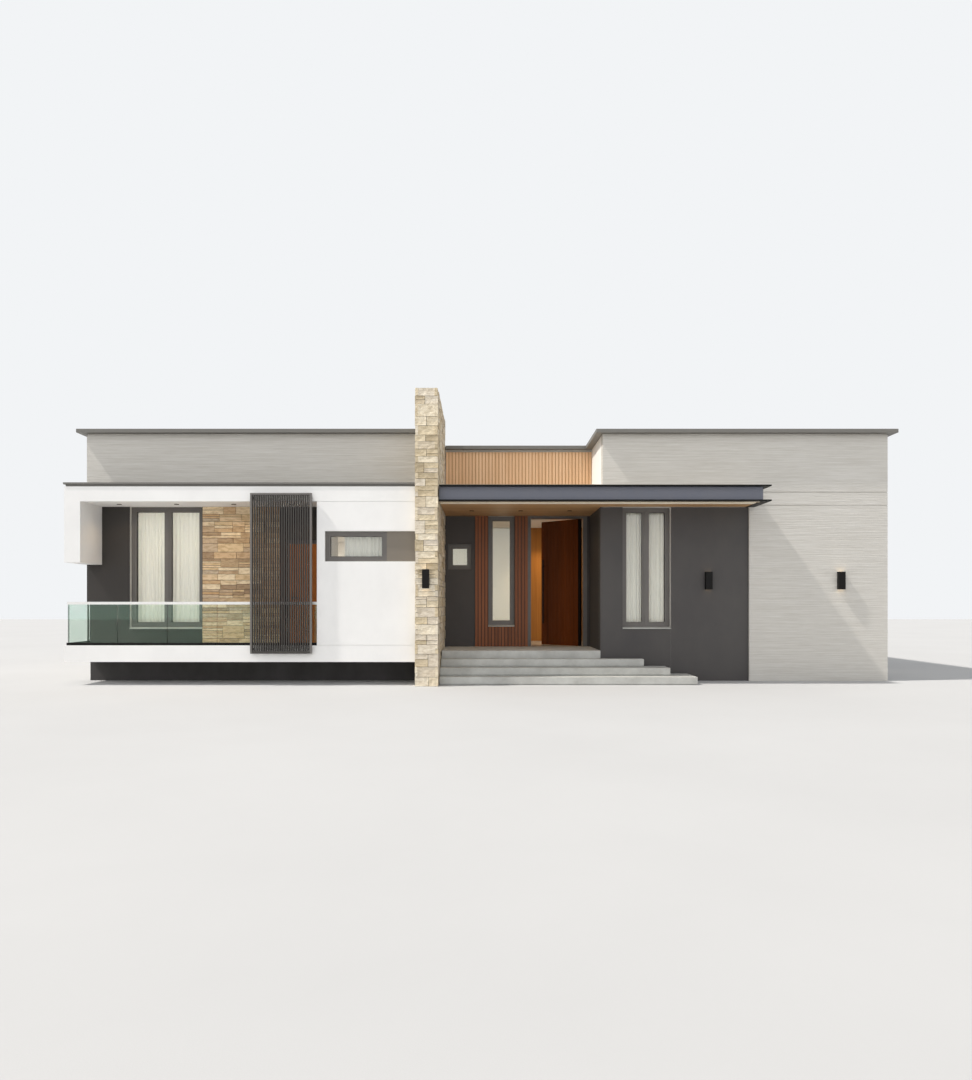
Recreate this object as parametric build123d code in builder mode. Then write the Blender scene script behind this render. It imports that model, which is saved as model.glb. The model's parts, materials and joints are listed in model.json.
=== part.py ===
from build123d import *
import os

os.makedirs("parts", exist_ok=True)

# Flat-roofed bungalow, in millimetres.
# +X runs along the front to the right as seen from the street, +Y goes into the
# house and +Z is up. The origin is on the ground, in the middle of the front,
# in the plane of the two wings' front walls.

# Levels above the ground
floor_level = 600
ceiling_level = 3460
surround_level = 3740
roof_level = 3760
parapet_level = 4910
pier_top = 5540
slab_thickness = 160

# Plan of the house
house_half_width = 7955
house_depth = 9600
wall_thickness = 230
balcony_depth = 900
porch_depth = 1750
pier_left = -1355
pier_width = 450
pier_front = -1130
porch_wall_left = 2255
dark_wall_recess = 50
dark_wall_width = 2950
wing_corner_left = 2295
hall_depth = 2620
hall_wall_thickness = 120
hall_panel_thickness = 30

# Balcony, its white surround and the room bay beside it
kerb_height = 150
kerb_width = 200
surround_leg_width = 300
surround_leg_bottom = 2310
surround_cap_height = 35
surround_cap_overhang = 15
surround_cap_gap = 40
surround_cap_inset = 20
plinth_recess = 150
bay_width = 1850
bay_wall_thickness = 200
shadow_gap = 10
shadow_gap_depth = 12
wing_groove_height = 20

# Canopy over the porch
canopy_setback = 20
canopy_plate_overhang = 120
canopy_plate_thickness = 28
canopy_border = 170
soffit_thickness = 20
soffit_batten_width = 110
soffit_groove_width = 160
soffit_groove_depth = 6

# Copings on the parapets
coping_height = 72
coping_gap_height = 30
coping_outer_overhang = 145
coping_inner_overhang = 40
coping_joint = 3

# Steps up to the porch
riser = floor_level / 4
going = 300
step_gap_height = 22
step_gap_depth = 25
lower_step_reach = 1710
step_end_setback = 450

# Windows
frame_depth = 110
frame_width = 48
sash_width = 44
sash_setback = 12
glass_thickness = 10
reveal_depth = 75
wing_reveal_depth = 120
strip_reveal_depth = 60
sill_height = 34
sill_nose_height = 14
sill_projection = 22
window_bottom = 1036
balcony_window_inset = 857
balcony_window_width = 1441
wing_window_inset = 442
wing_window_width = 962
strip_inset = 150
strip_bottom = 2330
strip_top = 2900
strip_window_width = 1160
strip_panel_thickness = 14
tall_window_inset = 292
tall_window_width = 575
small_window_inset = 50
small_window_width = 510
small_window_bottom = 2290
small_window_top = 2850
side_window_inset = 2900
rear_window_inset = 2355
rear_window_count = 4

# Timber slats on the parapet and the porch wall
slat_pitch = 73
slat_width = 50
slat_depth = 18
slat_board = 12
porch_slats_overlap = 290
slat_top_gap = 50

# Louvre screen in front of the balcony
screen_inset = 80
screen_width = 1150
screen_top_lap = 145
screen_depth = 55
screen_standoff = 40
screen_stile = 45
bracket_inset = 5
screen_slat_count = 24
screen_slat_width = 22

# Glass balustrade
rail_top = 1570
rail_height = 50
rail_width = 36
rail_inset = 30
channel_height = 50
channel_width = 50
balustrade_glass = 16
balustrade_panel_gap = 12
balustrade_panel_count = 5

# Front door, a pivot door that stands ajar
door_frame_depth = 200
door_opening_width = 1143
corner_wall_strip = 59
door_left_jamb = 72
door_right_jamb = 89
door_head = 3410
door_thickness = 60
door_edge_gap = 10
door_floor_gap = 8
door_pivot_inset = 120
door_rest_angle = 45
door_board_count = 12
door_groove = 8
pivot_radius = 12
pull_radius = 16
pull_length = 1450
pull_height = 480
pull_post_inset = 150
pull_standoff = 55
seat_gap = 0.3

# Balcony door
balcony_door_width = 810
balcony_door_head = 2800
balcony_jamb = 70
balcony_frame_front = 40
balcony_leaf_thickness = 44
balcony_leaf_gap = 6
hinge_radius = 7
hinge_height = 96
hinge_plate = 3
hinge_plate_width = 34
hinge_inset = 180
lever_inset = 70
lever_level = 1650
lever_length = 130
lever_height = 18
lever_standoff = 40
rose_radius = 26
rose_thickness = 8
stone_panel_strip = 100
stone_panel_thickness = 40

# Lights
downlight_radius = 48
downlight_height = 9
downlight_dish_radius = 38
downlight_lens_radius = 29
downlight_dish_depth = 5
balcony_light_row = -450
balcony_light_count = 4
balcony_light_left_inset = 840
balcony_light_right_inset = 589
porch_light_row = 680
porch_light_count = 3
porch_light_left_inset = 585
porch_light_right_inset = 551
wall_light_width = 130
wall_light_depth = 100
wall_light_height = 350
wall_light_bottom = 1820
wall_light_well_radius = 36
wall_light_well_depth = 70
pier_light_inset = 215
dark_wall_light_inset = 805
wing_light_inset = 940

# Curtains
curtain_depth = 60
curtain_floor_gap = 25
track_height = 20
track_width = 30
curtain_wall_gap = 20
bay_curtain_inset = 330

# Places that follow from the sizes above
west = -house_half_width
east = house_half_width
pier_right = pier_left + pier_width
slab_underside = floor_level - slab_thickness
plinth_back = plinth_recess + wall_thickness
window_head = ceiling_level
bay_left = pier_left - bay_width
porch_wall_right = porch_wall_left + wall_thickness
porch_back = porch_depth + wall_thickness
wing_corner_right = wing_corner_left + wall_thickness
dark_wall_back = dark_wall_recess + wall_thickness
kerb_level = floor_level + kerb_height
soffit_top = ceiling_level + soffit_thickness
canopy_underside = soffit_top - canopy_plate_thickness
dark_wall_right = porch_wall_left + dark_wall_width
canopy_right = dark_wall_right - canopy_setback
door_opening_right = porch_wall_left - corner_wall_strip - door_right_jamb
door_opening_left = door_opening_right - door_opening_width
door_frame_left = door_opening_left - door_left_jamb
balcony_door_left = bay_left - balcony_door_width
leaf_front = balcony_frame_front
leaf_back = balcony_frame_front + balcony_leaf_thickness


def span_rectangle(low_u, high_u, low_v, high_v, mode=Mode.ADD):
    """Draws a rectangle between two corners of the sketch."""
    with Locations(((low_u + high_u) / 2, (low_v + high_v) / 2)):
        Rectangle(high_u - low_u, high_v - low_v, mode=mode)


def front_plane(y):
    """The upright plane at a depth, drawn in x and z."""
    return Plane.XZ.offset(-y)


def side_plane(x):
    """The upright plane at a width, drawn in y and z."""
    return Plane.YZ.offset(x)


def finish(piece, name):
    """Names a piece and writes it to its own file."""
    piece.part.label = name
    export_step(piece.part, f"parts/{name}.step")


# Foundation and floor

# The recessed wall that carries the balcony slab
with BuildPart() as balcony_plinth:
    with BuildSketch():
        span_rectangle(west, pier_left, plinth_recess, plinth_back)
    extrude(amount=slab_underside)
finish(balcony_plinth, "balcony_plinth")

# The floor follows the inner faces of the walls round the porch
with BuildPart() as floor_slab:
    with BuildSketch(Plane.XY.offset(slab_underside)):
        with BuildLine():
            Polyline(
                (west + wall_thickness, 0),
                (pier_left, 0),
                (pier_left, porch_depth),
                (porch_wall_right, porch_depth),
                (porch_wall_right, dark_wall_back),
                (dark_wall_right, dark_wall_back),
                (dark_wall_right, wall_thickness),
                (east - wall_thickness, wall_thickness),
                (east - wall_thickness, house_depth - wall_thickness),
                (west + wall_thickness, house_depth - wall_thickness),
                close=True,
            )
        make_face()
    extrude(amount=slab_thickness)
finish(floor_slab, "floor_slab")

with BuildPart() as balcony_slab:
    with BuildSketch(Plane.XY.offset(slab_underside)):
        span_rectangle(west, pier_left, -balcony_depth, 0)
    extrude(amount=slab_thickness)
finish(balcony_slab, "balcony_slab")

# A kerb stands along the balcony's front and its left end
with BuildPart() as balcony_kerb:
    with BuildSketch(Plane.XY.offset(floor_level)):
        span_rectangle(west, pier_left, -balcony_depth, 0)
        span_rectangle(
            west + kerb_width, pier_left, -balcony_depth + kerb_width, 0, mode=Mode.SUBTRACT
        )
    extrude(amount=kerb_height)
finish(balcony_kerb, "balcony_kerb")

# Walls


def cut_windows(openings, plane, depth):
    """Cuts window openings, each given as left, right, bottom and top, through a wall."""
    with BuildSketch(plane) as outline:
        for left, right, bottom, top in openings:
            span_rectangle(left, right, bottom, top)
    extrude(outline.sketch, amount=depth, mode=Mode.SUBTRACT)


def cut_coping_gap():
    """Cuts the shadow gap below the copings into the outer faces of the current wall."""
    with BuildSketch(Plane.XY.offset(parapet_level - coping_gap_height)) as outline:
        span_rectangle(west, east, 0, house_depth)
        span_rectangle(
            west + shadow_gap_depth, east - shadow_gap_depth,
            shadow_gap_depth, house_depth - shadow_gap_depth, mode=Mode.SUBTRACT,
        )
    extrude(outline.sketch, amount=coping_gap_height, mode=Mode.SUBTRACT)


def opening_from(left, width, bottom=window_bottom, top=window_head):
    """Gives an opening's left, right, bottom and top."""
    return left, left + width, bottom, top


balcony_window = opening_from(west + balcony_window_inset, balcony_window_width)
wing_window = opening_from(porch_wall_left + wing_window_inset, wing_window_width)
strip_left = bay_left + strip_inset
strip_window = opening_from(strip_left, strip_window_width, strip_bottom, strip_top)
tall_window = opening_from(
    door_frame_left - tall_window_inset - tall_window_width, tall_window_width
)
small_window = opening_from(
    pier_right + small_window_inset, small_window_width, small_window_bottom, small_window_top
)
side_windows = [
    opening_from(centre - wing_window_width / 2, wing_window_width)
    for centre in (side_window_inset, house_depth - side_window_inset)
]
rear_window_spacing = 2 * (house_half_width - rear_window_inset) / (rear_window_count - 1)
rear_windows = [
    opening_from(
        west + rear_window_inset + number * rear_window_spacing - wing_window_width / 2,
        wing_window_width,
    )
    for number in range(rear_window_count)
]

# The charcoal wall behind the balcony, with its twin window
with BuildPart() as left_front_wall:
    with BuildSketch(front_plane(0)):
        span_rectangle(west, balcony_door_left, floor_level, ceiling_level)
    extrude(amount=-wall_thickness)
    cut_windows([balcony_window], front_plane(0), -wall_thickness)
finish(left_front_wall, "left_front_wall")

# The panel over the balcony door
with BuildPart() as balcony_door_header:
    with BuildSketch(front_plane(0)):
        span_rectangle(balcony_door_left, bay_left, balcony_door_head, ceiling_level)
    extrude(amount=-wall_thickness)
finish(balcony_door_header, "balcony_door_header")

# The bay's white front: shadow gaps part it from the slab and the beam, and a
# recessed strip runs across it to the pier
with BuildPart() as bay_front_wall:
    with BuildSketch(side_plane(bay_left)):
        span_rectangle(
            -balcony_depth, -balcony_depth + bay_wall_thickness, kerb_level, ceiling_level
        )
        for gap_bottom in (kerb_level, ceiling_level - shadow_gap):
            span_rectangle(
                -balcony_depth, -balcony_depth + shadow_gap_depth,
                gap_bottom, gap_bottom + shadow_gap, mode=Mode.SUBTRACT,
            )
    extrude(amount=bay_width)
    with BuildSketch(front_plane(-balcony_depth)):
        span_rectangle(strip_left, pier_left, strip_bottom, strip_top)
    extrude(amount=-strip_reveal_depth, mode=Mode.SUBTRACT)
    cut_windows([strip_window], front_plane(-balcony_depth), -bay_wall_thickness)
finish(bay_front_wall, "bay_front_wall")

with BuildPart() as bay_side_wall:
    with BuildSketch(Plane.XY.offset(floor_level)):
        span_rectangle(
            bay_left, bay_left + bay_wall_thickness,
            -balcony_depth + bay_wall_thickness, wall_thickness,
        )
    extrude(amount=ceiling_level - floor_level)
finish(bay_side_wall, "bay_side_wall")

# The taupe panel that fills the strip beside its window
with BuildPart() as strip_panel:
    with BuildSketch(front_plane(-balcony_depth + strip_reveal_depth)):
        span_rectangle(strip_window[1], pier_left, strip_bottom, strip_top)
    extrude(amount=strip_panel_thickness)
finish(strip_panel, "strip_panel")

# The left wing's parapet spans the wall, the balcony door and the bay
with BuildPart() as left_parapet:
    with BuildSketch(front_plane(0)):
        span_rectangle(west, pier_left, ceiling_level, parapet_level)
    extrude(amount=-wall_thickness)
    cut_coping_gap()
finish(left_parapet, "left_parapet")

# The left side wall closes the floor's end, and starts behind the plinth below it
with BuildPart() as west_wall:
    with BuildSketch(side_plane(west)):
        with BuildLine():
            Polyline(
                (plinth_back, 0),
                (house_depth, 0),
                (house_depth, parapet_level),
                (wall_thickness, parapet_level),
                (wall_thickness, floor_level),
                (0, floor_level),
                (0, slab_underside),
                (plinth_back, slab_underside),
                close=True,
            )
        make_face()
    extrude(amount=wall_thickness)
    cut_windows(side_windows, side_plane(west), wall_thickness)
    cut_coping_gap()
finish(west_wall, "west_wall")

with BuildPart() as east_wall:
    with BuildSketch(side_plane(east)):
        span_rectangle(wall_thickness, house_depth, 0, parapet_level)
    extrude(amount=-wall_thickness)
    cut_windows(side_windows, side_plane(east), -wall_thickness)
    cut_coping_gap()
finish(east_wall, "east_wall")

with BuildPart() as rear_wall:
    with BuildSketch(front_plane(house_depth)):
        span_rectangle(west + wall_thickness, east - wall_thickness, 0, parapet_level)
    extrude(amount=wall_thickness)
    cut_windows(rear_windows, front_plane(house_depth), wall_thickness)
    cut_coping_gap()
finish(rear_wall, "rear_wall")

# The pale wing wall runs over the dark one, with a groove in line with each
# edge of the canopy
with BuildPart() as right_front_wall:
    with BuildSketch(front_plane(0)):
        with BuildLine():
            Polyline(
                (dark_wall_right, 0),
                (east, 0),
                (east, parapet_level),
                (wing_corner_left, parapet_level),
                (wing_corner_left, ceiling_level),
                (dark_wall_right, ceiling_level),
                close=True,
            )
        make_face()
    extrude(amount=-wall_thickness)
    with BuildSketch(front_plane(0)):
        for groove_bottom in (
            soffit_top, roof_level - wing_groove_height
        ):
            span_rectangle(
                canopy_right + canopy_plate_overhang, east,
                groove_bottom, groove_bottom + wing_groove_height,
            )
    extrude(amount=-shadow_gap_depth, mode=Mode.SUBTRACT)
    cut_coping_gap()
finish(right_front_wall, "right_front_wall")

with BuildPart() as dark_front_wall:
    with BuildSketch(front_plane(dark_wall_recess)):
        span_rectangle(porch_wall_left, dark_wall_right, 0, ceiling_level)
    extrude(amount=-wall_thickness)
    cut_windows([wing_window], front_plane(dark_wall_recess), -wall_thickness)
finish(dark_front_wall, "dark_front_wall")

with BuildPart() as porch_side_wall:
    with BuildSketch():
        span_rectangle(porch_wall_left, porch_wall_right, dark_wall_back, porch_depth)
    extrude(amount=ceiling_level)
finish(porch_side_wall, "porch_side_wall")

with BuildPart() as porch_back_wall:
    with BuildSketch(front_plane(porch_depth)):
        span_rectangle(pier_left, door_frame_left, floor_level, ceiling_level)
    extrude(amount=-wall_thickness)
    cut_windows([tall_window, small_window], front_plane(porch_depth), -wall_thickness)
finish(porch_back_wall, "porch_back_wall")

# The short wall between the front door and the corner of the porch
with BuildPart() as porch_corner_wall:
    with BuildSketch(Plane.XY.offset(floor_level)):
        span_rectangle(
            door_opening_right + door_right_jamb, porch_wall_right, porch_depth, porch_back
        )
    extrude(amount=ceiling_level - floor_level)
finish(porch_corner_wall, "porch_corner_wall")

# The wall across the hall shows through the porch's windows, and its timber
# lining past the open front door
hall_wall_face = porch_back + hall_depth
with BuildPart() as hall_wall:
    with BuildSketch(Plane.XY.offset(floor_level)):
        span_rectangle(
            pier_left, wing_corner_right, hall_wall_face, hall_wall_face + hall_wall_thickness
        )
    extrude(amount=ceiling_level - floor_level)
finish(hall_wall, "hall_wall")

with BuildPart() as hall_panelling:
    with BuildSketch(Plane.XY.offset(floor_level)):
        span_rectangle(
            door_frame_left, wing_corner_right, hall_wall_face - hall_panel_thickness, hall_wall_face
        )
    extrude(amount=ceiling_level - floor_level)
finish(hall_panelling, "hall_panelling")

with BuildPart() as centre_parapet:
    with BuildSketch(front_plane(porch_depth)):
        span_rectangle(pier_left, wing_corner_left, ceiling_level, parapet_level)
    extrude(amount=-wall_thickness)
finish(centre_parapet, "centre_parapet")

with BuildPart() as return_parapet:
    with BuildSketch(Plane.XY.offset(ceiling_level)):
        span_rectangle(wing_corner_left, wing_corner_right, wall_thickness, porch_back)
    extrude(amount=parapet_level - ceiling_level)
finish(return_parapet, "return_parapet")

# The tall stone pier that parts the left wing from the porch
with BuildPart() as stone_pier:
    with BuildSketch():
        span_rectangle(pier_left, pier_right, pier_front, porch_depth)
    extrude(amount=pier_top)
finish(stone_pier, "stone_pier")

with BuildPart() as balcony_stone:
    with BuildSketch(front_plane(0)):
        span_rectangle(
            balcony_window[1], balcony_door_left - stone_panel_strip, floor_level, ceiling_level
        )
    extrude(amount=stone_panel_thickness)
finish(balcony_stone, "balcony_stone")

# Roofs

with BuildPart() as roof_slab:
    with BuildSketch(Plane.XY.offset(ceiling_level)):
        with BuildLine():
            Polyline(
                (west + wall_thickness, wall_thickness),
                (pier_left, wall_thickness),
                (pier_left, porch_back),
                (wing_corner_right, porch_back),
                (wing_corner_right, wall_thickness),
                (east - wall_thickness, wall_thickness),
                (east - wall_thickness, house_depth - wall_thickness),
                (west + wall_thickness, house_depth - wall_thickness),
                close=True,
            )
        make_face()
    extrude(amount=roof_level - ceiling_level)
finish(roof_slab, "roof_slab")

# The balcony's roof turns down at its left end as a short hanging leg
with BuildPart() as balcony_surround:
    with BuildSketch(front_plane(-balcony_depth)):
        with BuildLine():
            Polyline(
                (west, surround_leg_bottom),
                (west + surround_leg_width, surround_leg_bottom),
                (west + surround_leg_width, ceiling_level),
                (pier_left, ceiling_level),
                (pier_left, surround_level),
                (west, surround_level),
                close=True,
            )
        make_face()
    extrude(amount=-balcony_depth)
finish(balcony_surround, "balcony_surround")

# Its cap stands on a narrower neck, which leaves a shadow gap
with BuildPart() as surround_cap:
    with BuildSketch(Plane.XY.offset(surround_level)):
        span_rectangle(west + surround_cap_inset, pier_left, surround_cap_inset - balcony_depth, 0)
    extrude(amount=surround_cap_gap)
    with BuildSketch(Plane.XY.offset(surround_level + surround_cap_gap)):
        span_rectangle(
            west - surround_cap_overhang, pier_left, -balcony_depth - surround_cap_overhang, 0
        )
    extrude(amount=surround_cap_height)
finish(surround_cap, "surround_cap")


def canopy_outline(overhang):
    """Draws the canopy's plan, with its front and right edges moved out by an overhang."""
    with BuildLine() as edges:
        Polyline(
            (pier_right, -balcony_depth - overhang),
            (canopy_right + overhang, -balcony_depth - overhang),
            (canopy_right + overhang, 0),
            (wing_corner_left, 0),
            (wing_corner_left, porch_depth),
            (pier_right, porch_depth),
            close=True,
        )
    make_face(edges.edges())


with BuildPart() as canopy:
    with BuildSketch(Plane.XY.offset(soffit_top)):
        canopy_outline(0)
    extrude(amount=roof_level - canopy_plate_thickness - soffit_top)
finish(canopy, "canopy")

# The top plate covers the canopy, and the bottom one is a border along its front
# and its right end
with BuildPart() as canopy_plates:
    with BuildSketch(Plane.XY.offset(roof_level - canopy_plate_thickness)):
        canopy_outline(canopy_plate_overhang)
    extrude(amount=canopy_plate_thickness)
    with BuildSketch(Plane.XY.offset(canopy_underside)):
        span_rectangle(
            pier_right, canopy_right + canopy_plate_overhang,
            -balcony_depth - canopy_plate_overhang, 0,
        )
        span_rectangle(
            pier_right, canopy_right + canopy_plate_overhang - canopy_border,
            -balcony_depth, 0, mode=Mode.SUBTRACT,
        )
    extrude(amount=canopy_plate_thickness)
finish(canopy_plates, "canopy_plates")

# The timber soffit: a batten along the front, a groove and the boarded ceiling
soffit_right = canopy_right + canopy_plate_overhang - canopy_border
with BuildPart() as canopy_soffit:
    with BuildSketch(side_plane(pier_right)):
        with BuildLine():
            batten_back = -balcony_depth + soffit_batten_width
            groove_back = batten_back + soffit_groove_width
            Polyline(
                (-balcony_depth, soffit_top),
                (-balcony_depth, canopy_underside),
                (batten_back, canopy_underside),
                (batten_back, ceiling_level + soffit_groove_depth),
                (groove_back, ceiling_level + soffit_groove_depth),
                (groove_back, ceiling_level),
                (porch_depth, ceiling_level),
                (porch_depth, soffit_top),
                close=True,
            )
        make_face()
    extrude(amount=soffit_right - pier_right)
    # Past the porch the soffit stops at the wing's front
    with BuildSketch(Plane.XY.offset(ceiling_level)):
        span_rectangle(porch_wall_left, soffit_right, 0, porch_depth)
    extrude(amount=soffit_thickness, mode=Mode.SUBTRACT)
finish(canopy_soffit, "canopy_soffit")

# Metal copings, in lengths with open joints between them
coping_front = -coping_outer_overhang
coping_inner = wall_thickness + coping_inner_overhang
with BuildPart() as copings:
    with BuildSketch(Plane.XY.offset(parapet_level)):
        span_rectangle(west - coping_outer_overhang, pier_left, coping_front, coping_inner)
        span_rectangle(
            wing_corner_left - coping_outer_overhang, east + coping_outer_overhang,
            coping_front, coping_inner,
        )
        span_rectangle(
            pier_left, wing_corner_left - coping_outer_overhang - coping_joint,
            porch_depth + coping_joint, porch_back + coping_inner_overhang,
        )
        span_rectangle(
            pier_right, wing_corner_left - coping_outer_overhang - coping_joint,
            porch_depth - coping_outer_overhang, porch_depth + coping_joint,
        )
        span_rectangle(
            wing_corner_left - coping_outer_overhang, wing_corner_left + coping_inner,
            coping_inner + coping_joint, porch_back + coping_inner_overhang,
        )
        for inner, outer in (
            (west + coping_inner, west - coping_outer_overhang),
            (east - coping_inner, east + coping_outer_overhang),
        ):
            span_rectangle(
                min(inner, outer), max(inner, outer),
                coping_inner + coping_joint, house_depth + coping_outer_overhang,
            )
        span_rectangle(
            west + coping_inner + coping_joint, east - coping_inner - coping_joint,
            house_depth - coping_inner, house_depth + coping_outer_overhang,
        )
    extrude(amount=coping_height)
finish(copings, "copings")

# Steps and porch floor: each stands on a recessed foot, which leaves a shadow gap


def step_block(left, right, front, back, bottom, height):
    """Builds one step on its recessed foot inside the current part."""
    with BuildSketch(Plane.XY.offset(bottom)) as outline:
        span_rectangle(left, right - step_gap_depth, front + step_gap_depth, back)
    extrude(outline.sketch, amount=step_gap_height)
    with BuildSketch(Plane.XY.offset(bottom + step_gap_height)) as outline:
        span_rectangle(left, right, front, back)
    extrude(outline.sketch, amount=height - step_gap_height)


steps = ("lower_step", "middle_step", "upper_step")
for number, name in enumerate(steps):
    right_end = porch_wall_left + lower_step_reach - number * step_end_setback
    with BuildPart() as step:
        step_block(
            pier_right, right_end, dark_wall_recess - going * (len(steps) - number),
            0, riser * number, riser,
        )
    finish(step, name)

with BuildPart() as porch_platform:
    with BuildSketch():
        span_rectangle(pier_right, porch_wall_left, dark_wall_recess, porch_depth)
    extrude(amount=floor_level)
finish(porch_platform, "porch_platform")

# Timber slats


def slat_profile(left, right, back):
    """Draws a board with upright ribs in plan, facing the street."""
    span_rectangle(left, right, back - slat_board, back)
    count = int((right - left + slat_pitch - slat_width) / slat_pitch)
    margin = (right - left - (count - 1) * slat_pitch - slat_width) / 2
    for number in range(count):
        rib_left = left + margin + number * slat_pitch
        span_rectangle(
            rib_left, rib_left + slat_width, back - slat_board - slat_depth, back - slat_board
        )


with BuildPart() as parapet_slats:
    with BuildSketch(Plane.XY.offset(roof_level)):
        slat_profile(pier_right, wing_corner_left, porch_depth)
    extrude(amount=parapet_level - slat_top_gap - roof_level)
finish(parapet_slats, "parapet_slats")

# The porch slats stop round the tall window
with BuildPart() as porch_slats:
    with BuildSketch(Plane.XY.offset(floor_level)):
        slat_profile(tall_window[0] - porch_slats_overlap, door_frame_left, porch_depth)
    extrude(amount=ceiling_level - floor_level)
    cut_windows([tall_window], front_plane(porch_depth), slat_board + slat_depth)
finish(porch_slats, "porch_slats")

# Windows


def frame_solid(left, right, bottom, top, sashes, plane, direction):
    """Builds one window frame with its sashes, set back a little inside the frame."""
    with BuildSketch(plane) as outline:
        span_rectangle(left, right, bottom, top)
        for low, high in glass_spans(left, right, sashes):
            span_rectangle(
                low, high, bottom + frame_width + sash_width, top - frame_width - sash_width,
                mode=Mode.SUBTRACT,
            )
    extrude(outline.sketch, amount=direction * frame_depth)
    with BuildSketch(plane) as outline:
        for low, high in glass_spans(left, right, sashes):
            span_rectangle(
                low - sash_width, high + sash_width, bottom + frame_width, top - frame_width
            )
    extrude(outline.sketch, amount=direction * sash_setback, mode=Mode.SUBTRACT)


def glass_spans(left, right, sashes):
    """Gives the left and right edge of each pane between the frame's posts."""
    pane = (right - left - frame_width * (sashes + 1)) / sashes
    spans = []
    for number in range(sashes):
        low = left + frame_width + number * (pane + frame_width)
        spans.append((low + sash_width, low + pane - sash_width))
    return spans


def pane_solids(left, right, bottom, top, sashes, plane, direction):
    """Builds the panes of one window in the middle of its frame's depth."""
    with BuildSketch(plane.offset(direction * (frame_depth - glass_thickness) / 2)) as outline:
        for low, high in glass_spans(left, right, sashes):
            span_rectangle(
                low, high, bottom + frame_width + sash_width, top - frame_width - sash_width
            )
    extrude(outline.sketch, amount=direction * glass_thickness)


def above_sill(opening):
    """The part of an opening that a frame fills, over its sill."""
    left, right, bottom, top = opening
    return left, right, bottom + sill_height, top


balcony_frame_plane = front_plane(reveal_depth)
wing_frame_plane = front_plane(dark_wall_recess + wing_reveal_depth)
strip_frame_plane = front_plane(-balcony_depth + strip_reveal_depth)
porch_frame_plane = front_plane(porch_depth + reveal_depth)
west_frame_plane = side_plane(west + reveal_depth)
east_frame_plane = side_plane(east - reveal_depth)
rear_frame_plane = front_plane(house_depth - reveal_depth)

with BuildPart() as front_window_frames:
    frame_solid(*above_sill(balcony_window), 2, balcony_frame_plane, -1)
    frame_solid(*strip_window, 1, strip_frame_plane, -1)
    frame_solid(*above_sill(wing_window), 2, wing_frame_plane, -1)
    frame_solid(*above_sill(tall_window), 1, porch_frame_plane, -1)
    frame_solid(*small_window, 1, porch_frame_plane, -1)
finish(front_window_frames, "front_window_frames")

with BuildPart() as side_window_frames:
    for opening in side_windows:
        frame_solid(*above_sill(opening), 2, west_frame_plane, 1)
        frame_solid(*above_sill(opening), 2, east_frame_plane, -1)
    for opening in rear_windows:
        frame_solid(*above_sill(opening), 2, rear_frame_plane, 1)
finish(side_window_frames, "side_window_frames")

with BuildPart() as front_window_glass:
    pane_solids(*above_sill(balcony_window), 2, balcony_frame_plane, -1)
    pane_solids(*strip_window, 1, strip_frame_plane, -1)
    pane_solids(*above_sill(wing_window), 2, wing_frame_plane, -1)
    pane_solids(*above_sill(tall_window), 1, porch_frame_plane, -1)
    pane_solids(*small_window, 1, porch_frame_plane, -1)
finish(front_window_glass, "front_window_glass")

with BuildPart() as side_window_glass:
    for opening in side_windows:
        pane_solids(*above_sill(opening), 2, west_frame_plane, 1)
        pane_solids(*above_sill(opening), 2, east_frame_plane, -1)
    for opening in rear_windows:
        pane_solids(*above_sill(opening), 2, rear_frame_plane, 1)
finish(side_window_glass, "side_window_glass")


def sill_solid(opening, plane, outward, reveal=reveal_depth):
    """Builds a sloped sill that fills the foot of an opening and noses past the wall.

    The plane stands across the wall at the opening's start, drawn in depth and z.
    """
    left, right, bottom, top = opening
    back = -outward * (reveal + frame_depth)
    nose = outward * sill_projection
    with BuildSketch(plane) as outline:
        with BuildLine():
            Polyline(
                (back, bottom),
                (nose, bottom),
                (nose, bottom + sill_nose_height),
                (-outward * reveal, bottom + sill_height),
                (back, bottom + sill_height),
                close=True,
            )
        make_face()
    extrude(outline.sketch, amount=right - left)


def front_sill_plane(opening, y):
    """The plane across a front wall where an opening starts."""
    return Plane(origin=(opening[0], y, 0), x_dir=(0, 1, 0), z_dir=(1, 0, 0))


def side_sill_plane(opening, x):
    """The plane across a side wall where an opening starts."""
    return Plane(origin=(x, opening[1], 0), x_dir=(1, 0, 0), z_dir=(0, -1, 0))


with BuildPart() as window_sills:
    sill_solid(balcony_window, front_sill_plane(balcony_window, 0), -1)
    sill_solid(
        wing_window, front_sill_plane(wing_window, dark_wall_recess), -1, wing_reveal_depth
    )
    sill_solid(tall_window, front_sill_plane(tall_window, porch_depth), -1)
    for opening in side_windows:
        sill_solid(opening, side_sill_plane(opening, west), -1)
        sill_solid(opening, side_sill_plane(opening, east), 1)
    for opening in rear_windows:
        sill_solid(opening, front_sill_plane(opening, house_depth), 1)
finish(window_sills, "window_sills")

# Louvre screen: upright slats in a frame, held off the beam and the slab

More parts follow.
